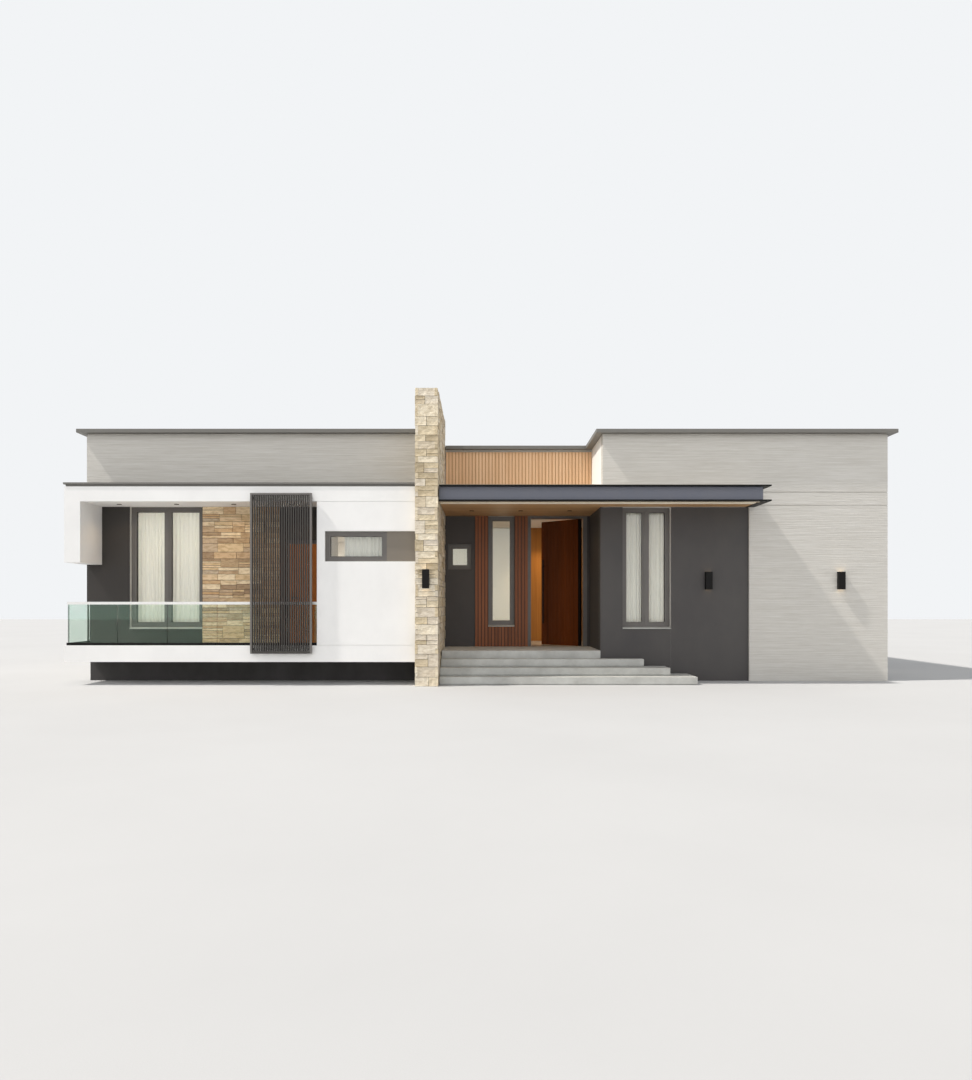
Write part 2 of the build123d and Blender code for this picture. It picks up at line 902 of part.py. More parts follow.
screen_back = -balcony_depth - screen_standoff
screen_right = bay_left - screen_inset
screen_left = screen_right - screen_width
screen_bottom = floor_level
screen_top = ceiling_level + screen_top_lap
slat_field = screen_width - 2 * screen_stile
slat_space = (slat_field - screen_slat_count * screen_slat_width) / (screen_slat_count + 1)
with BuildPart() as louvre_screen:
    with BuildSketch(front_plane(screen_back)):
        span_rectangle(screen_left, screen_right, screen_bottom, screen_top)
        for number in range(screen_slat_count + 1):
            slot_left = screen_left + screen_stile + number * (screen_slat_width + slat_space)
            span_rectangle(
                slot_left, slot_left + slat_space,
                screen_bottom + screen_stile, screen_top - screen_stile, mode=Mode.SUBTRACT,
            )
    extrude(amount=screen_depth)
    # A short bracket at the top and the foot of each stile carries it
    with BuildSketch(front_plane(-balcony_depth)):
        for bracket_bottom in (kerb_level - 2 * screen_stile, ceiling_level + screen_stile):
            for stile_left in (screen_left, screen_right - screen_stile):
                span_rectangle(
                    stile_left + bracket_inset, stile_left + screen_stile - bracket_inset,
                    bracket_bottom, bracket_bottom + screen_stile,
                )
    extrude(amount=screen_standoff)
finish(louvre_screen, "louvre_screen")

# Glass balustrade along the balcony's front and left end


def balustrade_run(width, bottom, height):
    """Builds an L-shaped run of a given width, centred on the balustrade's line."""
    line = rail_inset + channel_width / 2
    with BuildSketch(Plane.XY.offset(bottom)) as outline:
        span_rectangle(
            west + line - width / 2, bay_left,
            -balcony_depth + line - width / 2, -balcony_depth + line + width / 2,
        )
        span_rectangle(
            west + line - width / 2, west + line + width / 2, -balcony_depth + line + width / 2, 0
        )
    extrude(outline.sketch, amount=height)


with BuildPart() as rail_channel:
    balustrade_run(channel_width, kerb_level, channel_height)
finish(rail_channel, "rail_channel")

with BuildPart() as handrail:
    balustrade_run(rail_width, rail_top - rail_height, rail_height)
finish(handrail, "handrail")

with BuildPart() as rail_glass:
    glass_bottom = kerb_level + channel_height
    glass_line = rail_inset + channel_width / 2
    run_left = west + glass_line - balustrade_glass / 2
    run_length = bay_left - run_left
    panel = (run_length - balustrade_panel_count * balustrade_panel_gap) / balustrade_panel_count
    with BuildSketch(Plane.XY.offset(glass_bottom)):
        for number in range(balustrade_panel_count):
            panel_left = run_left + number * (panel + balustrade_panel_gap)
            span_rectangle(
                panel_left, panel_left + panel,
                -balcony_depth + glass_line - balustrade_glass / 2,
                -balcony_depth + glass_line + balustrade_glass / 2,
            )
        span_rectangle(
            run_left, run_left + balustrade_glass,
            -balcony_depth + glass_line + balustrade_glass / 2 + balustrade_panel_gap,
            -balustrade_panel_gap,
        )
    extrude(amount=rail_top - rail_height - glass_bottom)
finish(rail_glass, "rail_glass")

# Front door: a tall leaf turning on pins near its right edge

with BuildPart() as front_door_frame:
    with BuildSketch(front_plane(porch_depth)):
        span_rectangle(
            door_frame_left, door_opening_right + door_right_jamb, floor_level, ceiling_level
        )
        span_rectangle(
            door_opening_left, door_opening_right, floor_level, door_head, mode=Mode.SUBTRACT
        )
    extrude(amount=-door_frame_depth)
finish(front_door_frame, "front_door_frame")

# The leaf is drawn shut about its pivot, then turned to where it stands
leaf_right = door_opening_right - door_edge_gap
leaf_left = door_opening_left + door_edge_gap
pivot_x = leaf_right - door_pivot_inset
pivot_y = porch_depth + door_frame_depth / 2
leaf_bottom = floor_level + door_floor_gap
leaf_top = door_head - door_floor_gap
door_plane = Plane.XY.offset(leaf_bottom).move(Location((pivot_x, pivot_y, 0))).rotated(
    (0, 0, -door_rest_angle)
)
board_width = (leaf_right - leaf_left) / door_board_count

with BuildPart() as front_door_leaf:
    with BuildSketch(door_plane):
        span_rectangle(
            leaf_left - pivot_x, leaf_right - pivot_x, -door_thickness / 2, door_thickness / 2
        )
        for number in range(1, door_board_count):
            groove_centre = leaf_left - pivot_x + number * board_width
            for face in (-1, 1):
                with Locations((groove_centre, face * door_thickness / 2)):
                    Rectangle(door_groove, 2 * door_groove, rotation=45, mode=Mode.SUBTRACT)
    extrude(amount=leaf_top - leaf_bottom)
finish(front_door_leaf, "front_door_leaf")

# Its pivot pins, and the long pull bar on two posts on the street side
pull_x = leaf_left - pivot_x + board_width
pull_y = -door_thickness / 2 - pull_standoff
pull_bottom = leaf_bottom + pull_height
with BuildPart() as front_door_fittings:
    with BuildSketch(Plane.XY.offset(floor_level + seat_gap)):
        with Locations((pivot_x, pivot_y)):
            Circle(pivot_radius)
    extrude(amount=door_floor_gap - seat_gap)
    with BuildSketch(Plane.XY.offset(leaf_top)):
        with Locations((pivot_x, pivot_y)):
            Circle(pivot_radius)
    extrude(amount=door_floor_gap - seat_gap)
    with BuildSketch(door_plane.offset(pull_bottom - leaf_bottom)):
        with Locations((pull_x, pull_y)):
            Circle(pull_radius)
    extrude(amount=pull_length)
    for post_height in (pull_bottom + pull_post_inset, pull_bottom + pull_length - pull_post_inset):
        with BuildSketch(door_plane.offset(post_height - leaf_bottom - pull_radius / 2)):
            span_rectangle(
                pull_x - pull_radius / 2, pull_x + pull_radius / 2, pull_y, -door_thickness / 2
            )
        extrude(amount=pull_radius)
finish(front_door_fittings, "front_door_fittings")

# Balcony door, hinged on its right and opening inwards

balcony_leaf_left = balcony_door_left + balcony_jamb + balcony_leaf_gap
balcony_leaf_right = bay_left - balcony_jamb - balcony_leaf_gap
balcony_leaf_bottom = floor_level + balcony_leaf_gap
balcony_leaf_top = balcony_door_head - balcony_jamb - balcony_leaf_gap
hinge_x = balcony_leaf_right + balcony_leaf_gap / 2
hinge_y = leaf_back + hinge_radius
hinge_levels = (
    balcony_leaf_bottom + hinge_inset,
    (balcony_leaf_bottom + balcony_leaf_top) / 2,
    balcony_leaf_top - hinge_inset,
)
knuckle = hinge_height / 3


def hinge_part(level, height, plate_side):
    """Builds one knuckle of a hinge with its plate on the leaf or on the frame."""
    plate_edges = sorted((hinge_x, hinge_x + plate_side * hinge_plate_width))
    with BuildSketch(Plane.XY.offset(level)) as outline:
        with Locations((hinge_x, hinge_y)):
            Circle(hinge_radius)
        span_rectangle(*plate_edges, leaf_back, leaf_back + hinge_plate)
    extrude(outline.sketch, amount=height)


# The frame carries the outer knuckles of each hinge
with BuildPart() as balcony_door_frame:
    with BuildSketch(front_plane(balcony_frame_front)):
        span_rectangle(balcony_door_left, bay_left, floor_level, balcony_door_head)
        span_rectangle(
            balcony_door_left + balcony_jamb, bay_left - balcony_jamb,
            floor_level, balcony_door_head - balcony_jamb, mode=Mode.SUBTRACT,
        )
    extrude(amount=-balcony_leaf_thickness)
    for level in hinge_levels:
        for bottom in (level - knuckle / 2 - knuckle, level + knuckle / 2):
            hinge_part(bottom, knuckle, 1)
finish(balcony_door_frame, "balcony_door_frame")

with BuildPart() as balcony_door_leaf:
    with BuildSketch(front_plane(leaf_front)):
        span_rectangle(
            balcony_leaf_left, balcony_leaf_right, balcony_leaf_bottom, balcony_leaf_top
        )
    extrude(amount=-balcony_leaf_thickness)
finish(balcony_door_leaf, "balcony_door_leaf")

# The leaf's own knuckles, and a lever on a rose on each of its faces
lever_x = balcony_leaf_left + lever_inset
with BuildPart() as balcony_door_fittings:
    for level in hinge_levels:
        hinge_part(level - knuckle / 2 + seat_gap, knuckle - 2 * seat_gap, -1)
    for face, direction in ((leaf_front, 1), (leaf_back, -1)):
        with BuildSketch(front_plane(face)):
            with Locations((lever_x, lever_level)):
                Circle(rose_radius)
        extrude(amount=direction * rose_thickness)
        with BuildSketch(front_plane(face - direction * rose_thickness)):
            with Locations((lever_x, lever_level)):
                Circle(lever_height / 2)
        extrude(amount=direction * lever_standoff)
        with BuildSketch(front_plane(face - direction * lever_standoff)):
            with Locations((lever_x + (lever_length - lever_height) / 2, lever_level)):
                SlotOverall(lever_length, lever_height)
        extrude(amount=direction * lever_height)
finish(balcony_door_fittings, "balcony_door_fittings")

# Lights


def downlight(x, y, ceiling):
    """Builds a round downlight with a dished face, up against its ceiling."""
    with Locations((x, y, ceiling)):
        Cylinder(downlight_radius, downlight_height, align=(Align.CENTER, Align.CENTER, Align.MAX))
    with Locations((x, y, ceiling - downlight_height)):
        Cone(
            downlight_dish_radius, downlight_lens_radius, downlight_dish_depth,
            align=(Align.CENTER, Align.CENTER, Align.MIN), mode=Mode.SUBTRACT,
        )


def light_row(first, last, count, y, ceiling):
    """Builds a row of downlights, evenly spaced between the first and the last."""
    for number in range(count):
        downlight(first + number * (last - first) / (count - 1), y, ceiling)


with BuildPart() as downlights:
    light_row(
        west + balcony_light_left_inset, bay_left - balcony_light_right_inset,
        balcony_light_count, balcony_light_row, ceiling_level,
    )
    light_row(
        pier_right + porch_light_left_inset, porch_wall_left - porch_light_right_inset,
        porch_light_count, porch_light_row, ceiling_level,
    )
finish(downlights, "downlights")


def wall_light(centre, wall_face):
    """Builds an up-and-down wall light, open at both ends, against a front wall."""
    with BuildSketch(front_plane(wall_face)) as outline:
        span_rectangle(
            centre - wall_light_width / 2, centre + wall_light_width / 2,
            wall_light_bottom, wall_light_bottom + wall_light_height,
        )
    extrude(outline.sketch, amount=wall_light_depth)
    wall_light_top = wall_light_bottom + wall_light_height
    for well_bottom in (wall_light_bottom, wall_light_top - wall_light_well_depth):
        with BuildSketch(Plane.XY.offset(well_bottom)) as outline:
            with Locations((centre, wall_face - wall_light_depth / 2)):
                Circle(wall_light_well_radius)
        extrude(outline.sketch, amount=wall_light_well_depth, mode=Mode.SUBTRACT)


with BuildPart() as wall_lights:
    wall_light(pier_left + pier_light_inset, pier_front)
    wall_light(dark_wall_right - dark_wall_light_inset, dark_wall_recess)
    wall_light(east - wing_light_inset, 0)
finish(wall_lights, "wall_lights")

# Curtains on ceiling tracks behind the front windows

curtain_top = ceiling_level - track_height - seat_gap
curtain_bottom = floor_level + curtain_floor_gap


def curtain_line(wall_inside):
    """The depth of a curtain's middle behind a wall's inner face."""
    return wall_inside + curtain_wall_gap + curtain_depth / 2


def curtain_solid(left, right, wall_inside):
    """Builds the plain volume of a drawn curtain."""
    middle = curtain_line(wall_inside)
    with BuildSketch(Plane.XY.offset(curtain_bottom)) as outline:
        span_rectangle(left, right, middle - curtain_depth / 2, middle + curtain_depth / 2)
    extrude(outline.sketch, amount=curtain_top - curtain_bottom)


bay_inside = -balcony_depth + bay_wall_thickness
with BuildPart() as curtain_tracks:
    with BuildSketch(Plane.XY.offset(ceiling_level - track_height)):
        for left, right, inside in (
            (balcony_window[0], balcony_window[1], wall_thickness),
            (strip_window[0] + bay_wall_thickness, strip_window[1], bay_inside),
            (wing_window[0], wing_window[1], dark_wall_back),
        ):
            middle = curtain_line(inside)
            span_rectangle(left, right, middle - track_width / 2, middle + track_width / 2)
    extrude(amount=track_height)
finish(curtain_tracks, "curtain_tracks")

with BuildPart() as balcony_curtain:
    curtain_solid(balcony_window[0], balcony_window[1], wall_thickness)
finish(balcony_curtain, "balcony_curtain")

with BuildPart() as bay_curtain:
    curtain_solid(strip_window[0] + bay_curtain_inset, strip_window[1], bay_inside)
finish(bay_curtain, "bay_curtain")

with BuildPart() as wing_curtain:
    curtain_solid(wing_window[0], wing_window[1], dark_wall_back)
finish(wing_curtain, "wing_curtain")
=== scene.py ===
"""The looks of the bungalow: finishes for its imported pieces, and its stonework, cloth and lamps."""

import json
import logging
import math
import random
from dataclasses import dataclass, replace
from enum import Enum

import bmesh
import bpy
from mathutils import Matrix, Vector


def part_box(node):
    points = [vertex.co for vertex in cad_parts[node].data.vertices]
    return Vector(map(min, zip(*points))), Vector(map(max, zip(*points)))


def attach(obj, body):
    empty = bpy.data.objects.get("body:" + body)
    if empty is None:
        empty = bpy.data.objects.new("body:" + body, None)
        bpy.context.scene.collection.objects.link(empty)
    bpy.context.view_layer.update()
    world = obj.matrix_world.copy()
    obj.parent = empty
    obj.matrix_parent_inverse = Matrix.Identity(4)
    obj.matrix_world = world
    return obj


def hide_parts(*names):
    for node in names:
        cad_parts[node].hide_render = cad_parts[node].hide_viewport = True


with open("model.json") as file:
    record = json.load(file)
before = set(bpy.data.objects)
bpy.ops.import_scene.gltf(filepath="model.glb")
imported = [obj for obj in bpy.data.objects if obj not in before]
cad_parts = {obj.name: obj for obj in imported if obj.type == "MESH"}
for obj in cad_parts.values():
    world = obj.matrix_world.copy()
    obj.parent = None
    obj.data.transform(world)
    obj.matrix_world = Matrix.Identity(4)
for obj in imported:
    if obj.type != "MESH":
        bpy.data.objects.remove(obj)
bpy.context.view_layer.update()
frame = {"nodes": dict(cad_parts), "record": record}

log = logging.getLogger("bungalow")

MM = 0.001
MERGE_MM = 0.01
NOISE_ROUGHNESS = 0.6
LEVEL_NORMAL = 0.5
PHOTO_WIDTH = 972
PHOTO_HEIGHT = 1080
HOUSE = "house"

Socket = bpy.types.NodeSocket
Material = bpy.types.Material
Piece = bpy.types.Object
Inputs = dict[str | int, object]
Colour = tuple[float, float, float, float]
Triple = tuple[float, float, float]
Span = tuple[float, float]


class Axis(Enum):
    """The frame's three directions."""

    X = 0
    Y = 1
    Z = 2


class Facing(Enum):
    """The way a stone looks, as its turn about the upright, in degrees."""

    STREET = 0
    EAST = 90
    GARDEN = 180
    WEST = 270

    @property
    def outward(self) -> Vector:
        """The unit vector that points away from the wall."""
        turn = math.radians(self.value)
        return Vector((math.sin(turn), -math.cos(turn), 0.0))

    @property
    def along(self) -> Vector:
        """The unit vector that runs along the wall, to the right of someone who looks at it."""
        turn = math.radians(self.value)
        return Vector((math.cos(turn), math.sin(turn), 0.0))


def linear(code: str) -> Colour:
    """Turns an sRGB colour into the linear one that shaders take.

    Args:
        code: The colour as six hex digits after a hash sign.

    Returns:
        Red, green, blue and an alpha of one.
    """
    shares = [int(code[i:i + 2], 16) / 255 for i in (1, 3, 5)]
    bent = [s / 12.92 if s <= 0.04045 else ((s + 0.055) / 1.055) ** 2.4 for s in shares]
    return (*bent, 1.0)


class Nodes:
    """A tree of nodes, to which each method adds some and returns the socket that comes out."""

    def __init__(self, tree: bpy.types.NodeTree) -> None:
        """Starts with the tree as it is."""
        self.tree = tree

    def add(
        self, kind: str, inputs: Inputs | None = None, output: str | int = 0, **settings: object
    ) -> Socket:
        """Adds a node.

        Args:
            kind: The node's type name.
            inputs: What goes into its sockets, by name or number: a value, or a socket to link.
            output: The output that is wanted, by name or number.
            settings: The node's own properties.

        Returns:
            The output that is wanted, or the node's first input where it has none.
        """
        made = self.tree.nodes.new(kind)
        for name, value in settings.items():
            setattr(made, name, value)
        for name, value in (inputs or {}).items():
            if isinstance(value, Socket):
                self.tree.links.new(value, made.inputs[name])
            else:
                made.inputs[name].default_value = value
        return made.outputs[output] if made.outputs else made.inputs[0]

    def math(self, operation: str, *values: float | Socket) -> Socket:
        """Works a sum out of the values, in their order."""
        return self.add("ShaderNodeMath", dict(enumerate(values)), operation=operation)

    def place(self) -> Socket:
        """Reads the place on the object."""
        return self.add("ShaderNodeTexCoord", output="Object")

    def part(self, vector: Socket, axis: Axis) -> Socket:
        """Takes one direction's part of a vector."""
        return self.add("ShaderNodeSeparateXYZ", {0: vector}, axis.value)

    def patches(self, sizes_mm: Triple, turn: float = 0.0) -> Socket:
        """Measures the place on the object in patches, turned about the upright by some degrees."""
        scale, spin = tuple(size * MM for size in sizes_mm), (0.0, 0.0, math.radians(turn))
        inputs = {"Vector": self.place(), "Rotation": spin, "Scale": scale}
        return self.add("ShaderNodeMapping", inputs, vector_type="TEXTURE")

    def mix(self, share: Socket, under: object, over: object, **settings: object) -> Socket:
        """Lays a share of one colour over another."""
        inputs = {0: share, 6: under, 7: over}
        return self.add("ShaderNodeMix", inputs, 2, data_type="RGBA", **settings)

    def bump(self, height: Socket, depth_mm: float, **more: Socket) -> Socket:
        """Turns a height into a relief, as deep as is said."""
        inputs = {"Height": height, "Distance": depth_mm * MM}
        return self.add("ShaderNodeBump", inputs | more)


@dataclass(frozen=True)
class Mottle:
    """Clouds or streaks whose patches have a real size on the object, along X, Y and Z.

    The span is the noise at which they start and at which they are full, most is how strong they
    are then, and detail is how many finer layers they have.
    """

    sizes_mm: Triple
    span: Span = (0.35, 0.7)
    most: float = 1.0
    detail: float = 6.0

    def draw(self, nodes: Nodes, turn: float = 0.0) -> Socket:
        """Draws them, from 0 to most.

        Args:
            nodes: The material's tree.
            turn: How far they are turned about the upright, in degrees.

        Returns:
            How strong they are at each place.
        """
        placed = nodes.patches(self.sizes_mm, turn)
        layers = {"Scale": 1.0, "Detail": self.detail, "Roughness": NOISE_ROUGHNESS}
        noise = nodes.add("ShaderNodeTexNoise", {"Vector": placed, **layers})
        ends = dict(enumerate((noise, *self.span, 0.0, self.most)))
        return nodes.add("ShaderNodeMapRange", ends)


@dataclass(frozen=True)
class Grain:
    """A fine even relief: how wide and deep its grains are, and how many finer layers they have."""

    size_mm: float
    depth_mm: float
    detail: float = 4.0

    def draw(self, nodes: Nodes, **under: Socket) -> Socket:
        """Draws it, on top of another relief where there is one."""
        height = Mottle((self.size_mm,) * 3, (0.0, 1.0), detail=self.detail)
        return nodes.bump(height.draw(nodes), self.depth_mm, **under)


@dataclass(frozen=True)
class Zone:
    """A part of a piece with a colour of its own, between two planes across the piece.

    Such parts are the side of a wall that a room sees, a window's jamb, the gaps behind slats, and
    painted light and shade on the canopy's soffit.
    """

    axis: Axis
    low: float = -100.0
    high: float = 100.0
    colour: str = "#e9e6df"
    top: float | None = None

    def over(self, nodes: Nodes, rest: Socket) -> Socket:
        """Lays the zone's colour over the rest's.

        Args:
            nodes: The material's tree.
            rest: The colour outside the zone.

        Returns:
            The colour of both.
        """
        place = nodes.place()
        middle, half = (self.low + self.high) / 2, (self.high - self.low) / 2
        inside = nodes.math("COMPARE", nodes.part(place, self.axis), middle, half)
        if self.top is not None:
            below = nodes.math("LESS_THAN", nodes.part(place, Axis.Z), self.top)
            inside = nodes.math("MULTIPLY", inside, below)
        return nodes.mix(inside, rest, linear(self.colour))


@dataclass(frozen=True)
class Finish:
    """A surface: its name, its colour, its second colour in clouds, and how dull it is."""

    name: str
    colour: str
    second: str
    roughness: float
    zones: tuple[Zone, ...] = ()
    clouds: Mottle = Mottle((400.0, 400.0, 400.0))
    grain: Grain | None = None
    metallic: float = 0.0
    shine: float = 0.5

    def make(self) -> Material:
        """Builds the material.

        Returns:
            The material, ready for a slot.
        """
        material = bpy.data.materials.new(self.name)
        material.use_nodes = True
        nodes = Nodes(material.node_tree)
        shader, end = (nodes.tree.nodes[name] for name in ("Principled BSDF", "Material Output"))
        for name, value in self.values().items():
            shader.inputs[name].default_value = value
        colour = self.paint(nodes)
        for zone in self.zones:
            colour = zone.over(nodes, colour)
        nodes.tree.links.new(colour, shader.inputs["Base Color"])
        relief = self.relief(nodes)
        if relief:
            nodes.tree.links.new(relief, shader.inputs["Normal"])
        surface = self.surface(nodes, shader.outputs[0])
        nodes.tree.links.new(surface, end.inputs["Surface"])
        return material

    def values(self) -> Inputs:
        """Lists the shader's plain values."""
        plain = {"Roughness": self.roughness, "Metallic": self.metallic}
        return {**plain, "Specular IOR Level": self.shine}

    def paint(self, nodes: Nodes) -> Socket:
        """Draws the colour."""
        return self.blend(nodes, self.clouds.draw(nodes))

    def blend(self, nodes: Nodes, share: Socket) -> Socket:
        """Lays a share of the second colour over the first."""
        return nodes.mix(share, linear(self.colour), linear(self.second))

    def relief(self, nodes: Nodes) -> Socket | None:
        """Draws the fine relief, which a smooth surface doesn't have."""
        return self.grain.draw(nodes) if self.grain else None

    def surface(self, nodes: Nodes, shader: Socket) -> Socket:
        """Joins the shader with others, where one isn't enough."""
        return shader


@dataclass(frozen=True)
class TroweledRender(Finish):
    """Cement render trowelled flat and painted: dull, even, a little greyer in faint clouds.

    Its sand grain is coarser than the real half millimetre so that it shows.
    """

    clouds: Mottle = Mottle((900.0, 900.0, 1440.0))
    grain: Grain = Grain(9.0, 0.5)


@dataclass(frozen=True)
class CombedRender(TroweledRender):
    """Render drawn along with a comb while wet: level lines that break off and start again."""

    line_mm: float = 24.0
    stroke_mm: float = 1300.0
    line_depth_mm: float = 2.5
    span: Span = (0.62, 0.38)
    fine_share: float = 0.4

    def lines(self, nodes: Nodes) -> Socket:
        """Draws the comb's lines.

        Args:
            nodes: The material's tree.

        Returns:
            The lines, from 0 on a ridge to 1 in a furrow.
        """
        stroke, line = self.stroke_mm, self.line_mm
        long, fine = (
            Mottle(sizes, self.span, detail=2.0).draw(nodes)
            for sizes in ((stroke, stroke, line), (stroke / 4, stroke / 4, line / 2))
        )
        rest = nodes.math("MULTIPLY", long, 1 - self.fine_share)
        return nodes.math("MULTIPLY_ADD", fine, self.fine_share, rest)

    def paint(self, nodes: Nodes) -> Socket:
        """Draws the paint, with painted shade in the comb's furrows."""
        return self.blend(nodes, self.lines(nodes))

    def relief(self, nodes: Nodes) -> Socket:
        """Draws the comb's lines with the sand grain on them."""
        depth = {"Height": self.lines(nodes), "Distance": self.line_depth_mm * MM}
        return self.grain.draw(nodes, Normal=nodes.add("ShaderNodeBump", depth, invert=True))


@dataclass(frozen=True)
class CastConcrete(Finish):
    """Concrete cast smooth: mottled grey, with blowholes coarser than the real 3 mm."""

    clouds: Mottle = Mottle((350.0, 350.0, 350.0), detail=8.0)
    pore_mm: float = 26.0
    pore_rim: Span = (0.05, 0.18)
    pore_depth_mm: float = 2.0

    def relief(self, nodes: Nodes) -> Socket:
        """Draws the blowholes.

        Args:
            nodes: The material's tree.

        Returns:
            The normal.
        """
        inputs = {"Vector": nodes.place(), "Scale": 1 / (self.pore_mm * MM)}
        cells = nodes.add("ShaderNodeTexVoronoi", inputs, "Distance")
        holes = nodes.add("ShaderNodeMapRange", dict(enumerate((cells, *self.pore_rim))))
        return nodes.bump(holes, self.pore_depth_mm)


@dataclass(frozen=True)
class SplitStone(Finish):
    """Sandstone split into ledges: each stone has its own buff, with a coarse broken face."""

    tones: tuple[str, ...] = ()
    streaks: Mottle = Mottle((110.0, 110.0, 36.0), (0.44, 0.62), 0.5, 8.0)
    rust: Mottle = Mottle((420.0, 420.0, 300.0), (0.55, 0.8), 0.6)
    grain: Grain = Grain(34.0, 12.0, 6.0)

    def paint(self, nodes: Nodes) -> Socket:
        """Draws each stone's own tone, with darker bedding lines and patches of rust.

        Args:
            nodes: The material's tree.

        Returns:
            The colour.
        """
        own = nodes.add("ShaderNodeAttribute", output="Fac", attribute_name="shade")
        tone = nodes.add("ShaderNodeValToRGB", {0: own})
        stops = tone.node.color_ramp.elements
        stops.remove(stops[1])
        stops[0].color = linear(self.tones[0])
        for i, code in enumerate(self.tones[1:], 1):
            stops.new(i / (len(self.tones) - 1)).color = linear(code)
        dark = linear(self.second)
        worn = nodes.mix(self.streaks.draw(nodes), tone, dark, blend_type="MULTIPLY")
        return nodes.mix(self.rust.draw(nodes), worn, linear(self.colour))


@dataclass(frozen=True)
class CoatedMetal(Finish):
    """Sheet metal with a baked powder coat: satin, with a film of dust.

    Its soft orange-peel is coarser than the real 1 mm so that it shows.
    """

    clouds: Mottle = Mottle((260.0, 260.0, 420.0), (0.4, 0.75), 0.12, 5.0)
    grain: Grain = Grain(7.0, 0.15, 1.0)


@dataclass(frozen=True)
class OiledTimber(Finish):
    """Hardwood boards planed and oiled: fine grain along each board, and no two boards alike.

    The oil's shine is weaker than a varnish's.
    """

    board_mm: float = 73.0
    fibre_mm: float = 9.0
    fibre_length_mm: float = 900.0
    fibre_depth_mm: float = 0.5
    fibre_share: float = 0.55
    along: Axis = Axis.Z
    across: Axis = Axis.X
    turn: float = 0.0
    shine: float = 0.25

    def fibres(self, nodes: Nodes) -> Socket:
        """Draws the grain of the wood, from 0 to 1."""
        sizes = (self.fibre_length_mm if axis is self.along else self.fibre_mm for axis in Axis)
        return Mottle(tuple(sizes), (0.3, 0.7), detail=5.0).draw(nodes, self.turn)

    def paint(self, nodes: Nodes) -> Socket:
        """Draws the wood, with a tone of its own for each board.

        Args:
            nodes: The material's tree.

        Returns:
            The colour.
        """
        side = nodes.part(nodes.patches((self.board_mm,) * 3, self.turn), self.across)
        board = nodes.math("FLOOR", side)
        own = nodes.add("ShaderNodeTexWhiteNoise", {"W": board}, noise_dimensions="1D")
        fibres = nodes.math("MULTIPLY", self.fibres(nodes), self.fibre_share)
        return self.blend(nodes, nodes.math("MULTIPLY_ADD", own, 1 - self.fibre_share, fibres))

    def relief(self, nodes: Nodes) -> Socket:
        """Draws the open pores."""
        return nodes.bump(self.fibres(nodes), self.fibre_depth_mm)


@dataclass(frozen=True)
class ClearGlass(Finish):
    """Float glass: clear, with the sky in it and the faint waves of a large pane."""

    grain: Grain = Grain(700.0, 0.6, 1.0)
    tint: str = "#ffffff"

    def values(self) -> Inputs:
        """Makes it clear, and gives its reflections their tint."""
        glass = {"Transmission Weight": 1.0, "IOR": 1.5, "Specular Tint": linear(self.tint)}
        return super().values() | glass

    def surface(self, nodes: Nodes, shader: Socket) -> Socket:
        """Lets lamps shine straight through it, as a thin pane does.

        Args:
            nodes: The material's tree.
            shader: The glass.

        Returns:
            The glass, which is nothing at all to light on its way from a lamp.
        """
        path = nodes.add("ShaderNodeLightPath").node.outputs
        lamps = nodes.math("MAXIMUM", path["Is Shadow Ray"], path["Is Diffuse Ray"])
        clear = nodes.add("ShaderNodeBsdfTransparent")
        return nodes.add("ShaderNodeMixShader", {0: lamps, 1: shader, 2: clear})


@dataclass(frozen=True)
class WovenCloth(Finish):
    """A linen sheer: a plain weave with slubs up and down, which lets light through.

    Its threads are coarser than the real 1 mm so that they show.
    """

    clouds: Mottle = Mottle((7.0, 7.0, 420.0), (0.0, 1.0), detail=3.0)
    thread_mm: float = 5.0
    thread_depth_mm: float = 0.4
    sheer: float = 0.4
    sheen: float = 0.3

    def values(self) -> Inputs:
        """Adds the sheen of the yarn."""
        return super().values() | {"Sheen Weight": self.sheen}

    def relief(self, nodes: Nodes) -> Socket:
        """Draws the weave.

        Args:
            nodes: The material's tree.

        Returns:
            The normal.
        """
        parts = [nodes.part(nodes.place(), axis) for axis in (Axis.X, Axis.Z)]
        turns = [nodes.math("MULTIPLY", part, math.tau / (self.thread_mm * MM)) for part in parts]
        weave = nodes.math("MULTIPLY", *(nodes.math("SINE", turn) for turn in turns))
        return nodes.bump(weave, self.thread_depth_mm)

    def surface(self, nodes: Nodes, shader: Socket) -> Socket:
        """Lets light through the weave."""
        through = nodes.add("ShaderNodeBsdfTranslucent", {0: linear(self.colour)})
        return nodes.add("ShaderNodeMixShader", {0: self.sheer, 1: shader, 2: through})


@dataclass(frozen=True)
class LampLens(Finish):
    """Opal glass over a lamp, which glows warm."""

    strength: float = 3.0

    def values(self) -> Inputs:
        """Lights the lens."""
        glow = {"Emission Color": linear(self.colour), "Emission Strength": self.strength}
        return super().values() | glow


WHITE = TroweledRender("white_painted_render", "#f1f0ee", "#e9e8e6", 0.75)
# The pale render's second colour is the painted shade in its comb's furrows.
PALE = CombedRender("pale_combed_render", "#d2cfc9", "#c0bcb4", 0.85)
CHARCOAL = TroweledRender("charcoal_painted_render", "#4b4846", "#434040", 0.7)
# The charcoal paint made darker, as painted shade, for the walls that stand under the balcony's roof
# and the porch's canopy.
CHARCOAL_IN_PAINTED_SHADE = replace(CHARCOAL, colour="#322e2b", second="#322e2b")
CONCRETE = CastConcrete("cast_concrete", "#c4c4bf", "#abaaa5", 0.7)
MORTAR = CastConcrete("dark_mortar", "#3c352b", "#2c2720", 0.9)
SLATE = CoatedMetal("slate_powder_coat", "#6b6e7a", "#8a8680", 0.42)
DARK_COAT = CoatedMetal("dark_bronze_powder_coat", "#54504c", "#8a8680", 0.42)
SCREEN_COAT = CoatedMetal("umber_powder_coat", "#6a6663", "#8f8b86", 0.45)
BRONZE = CoatedMetal("bronze_powder_coat", "#625e5a", "#8a8680", 0.42)
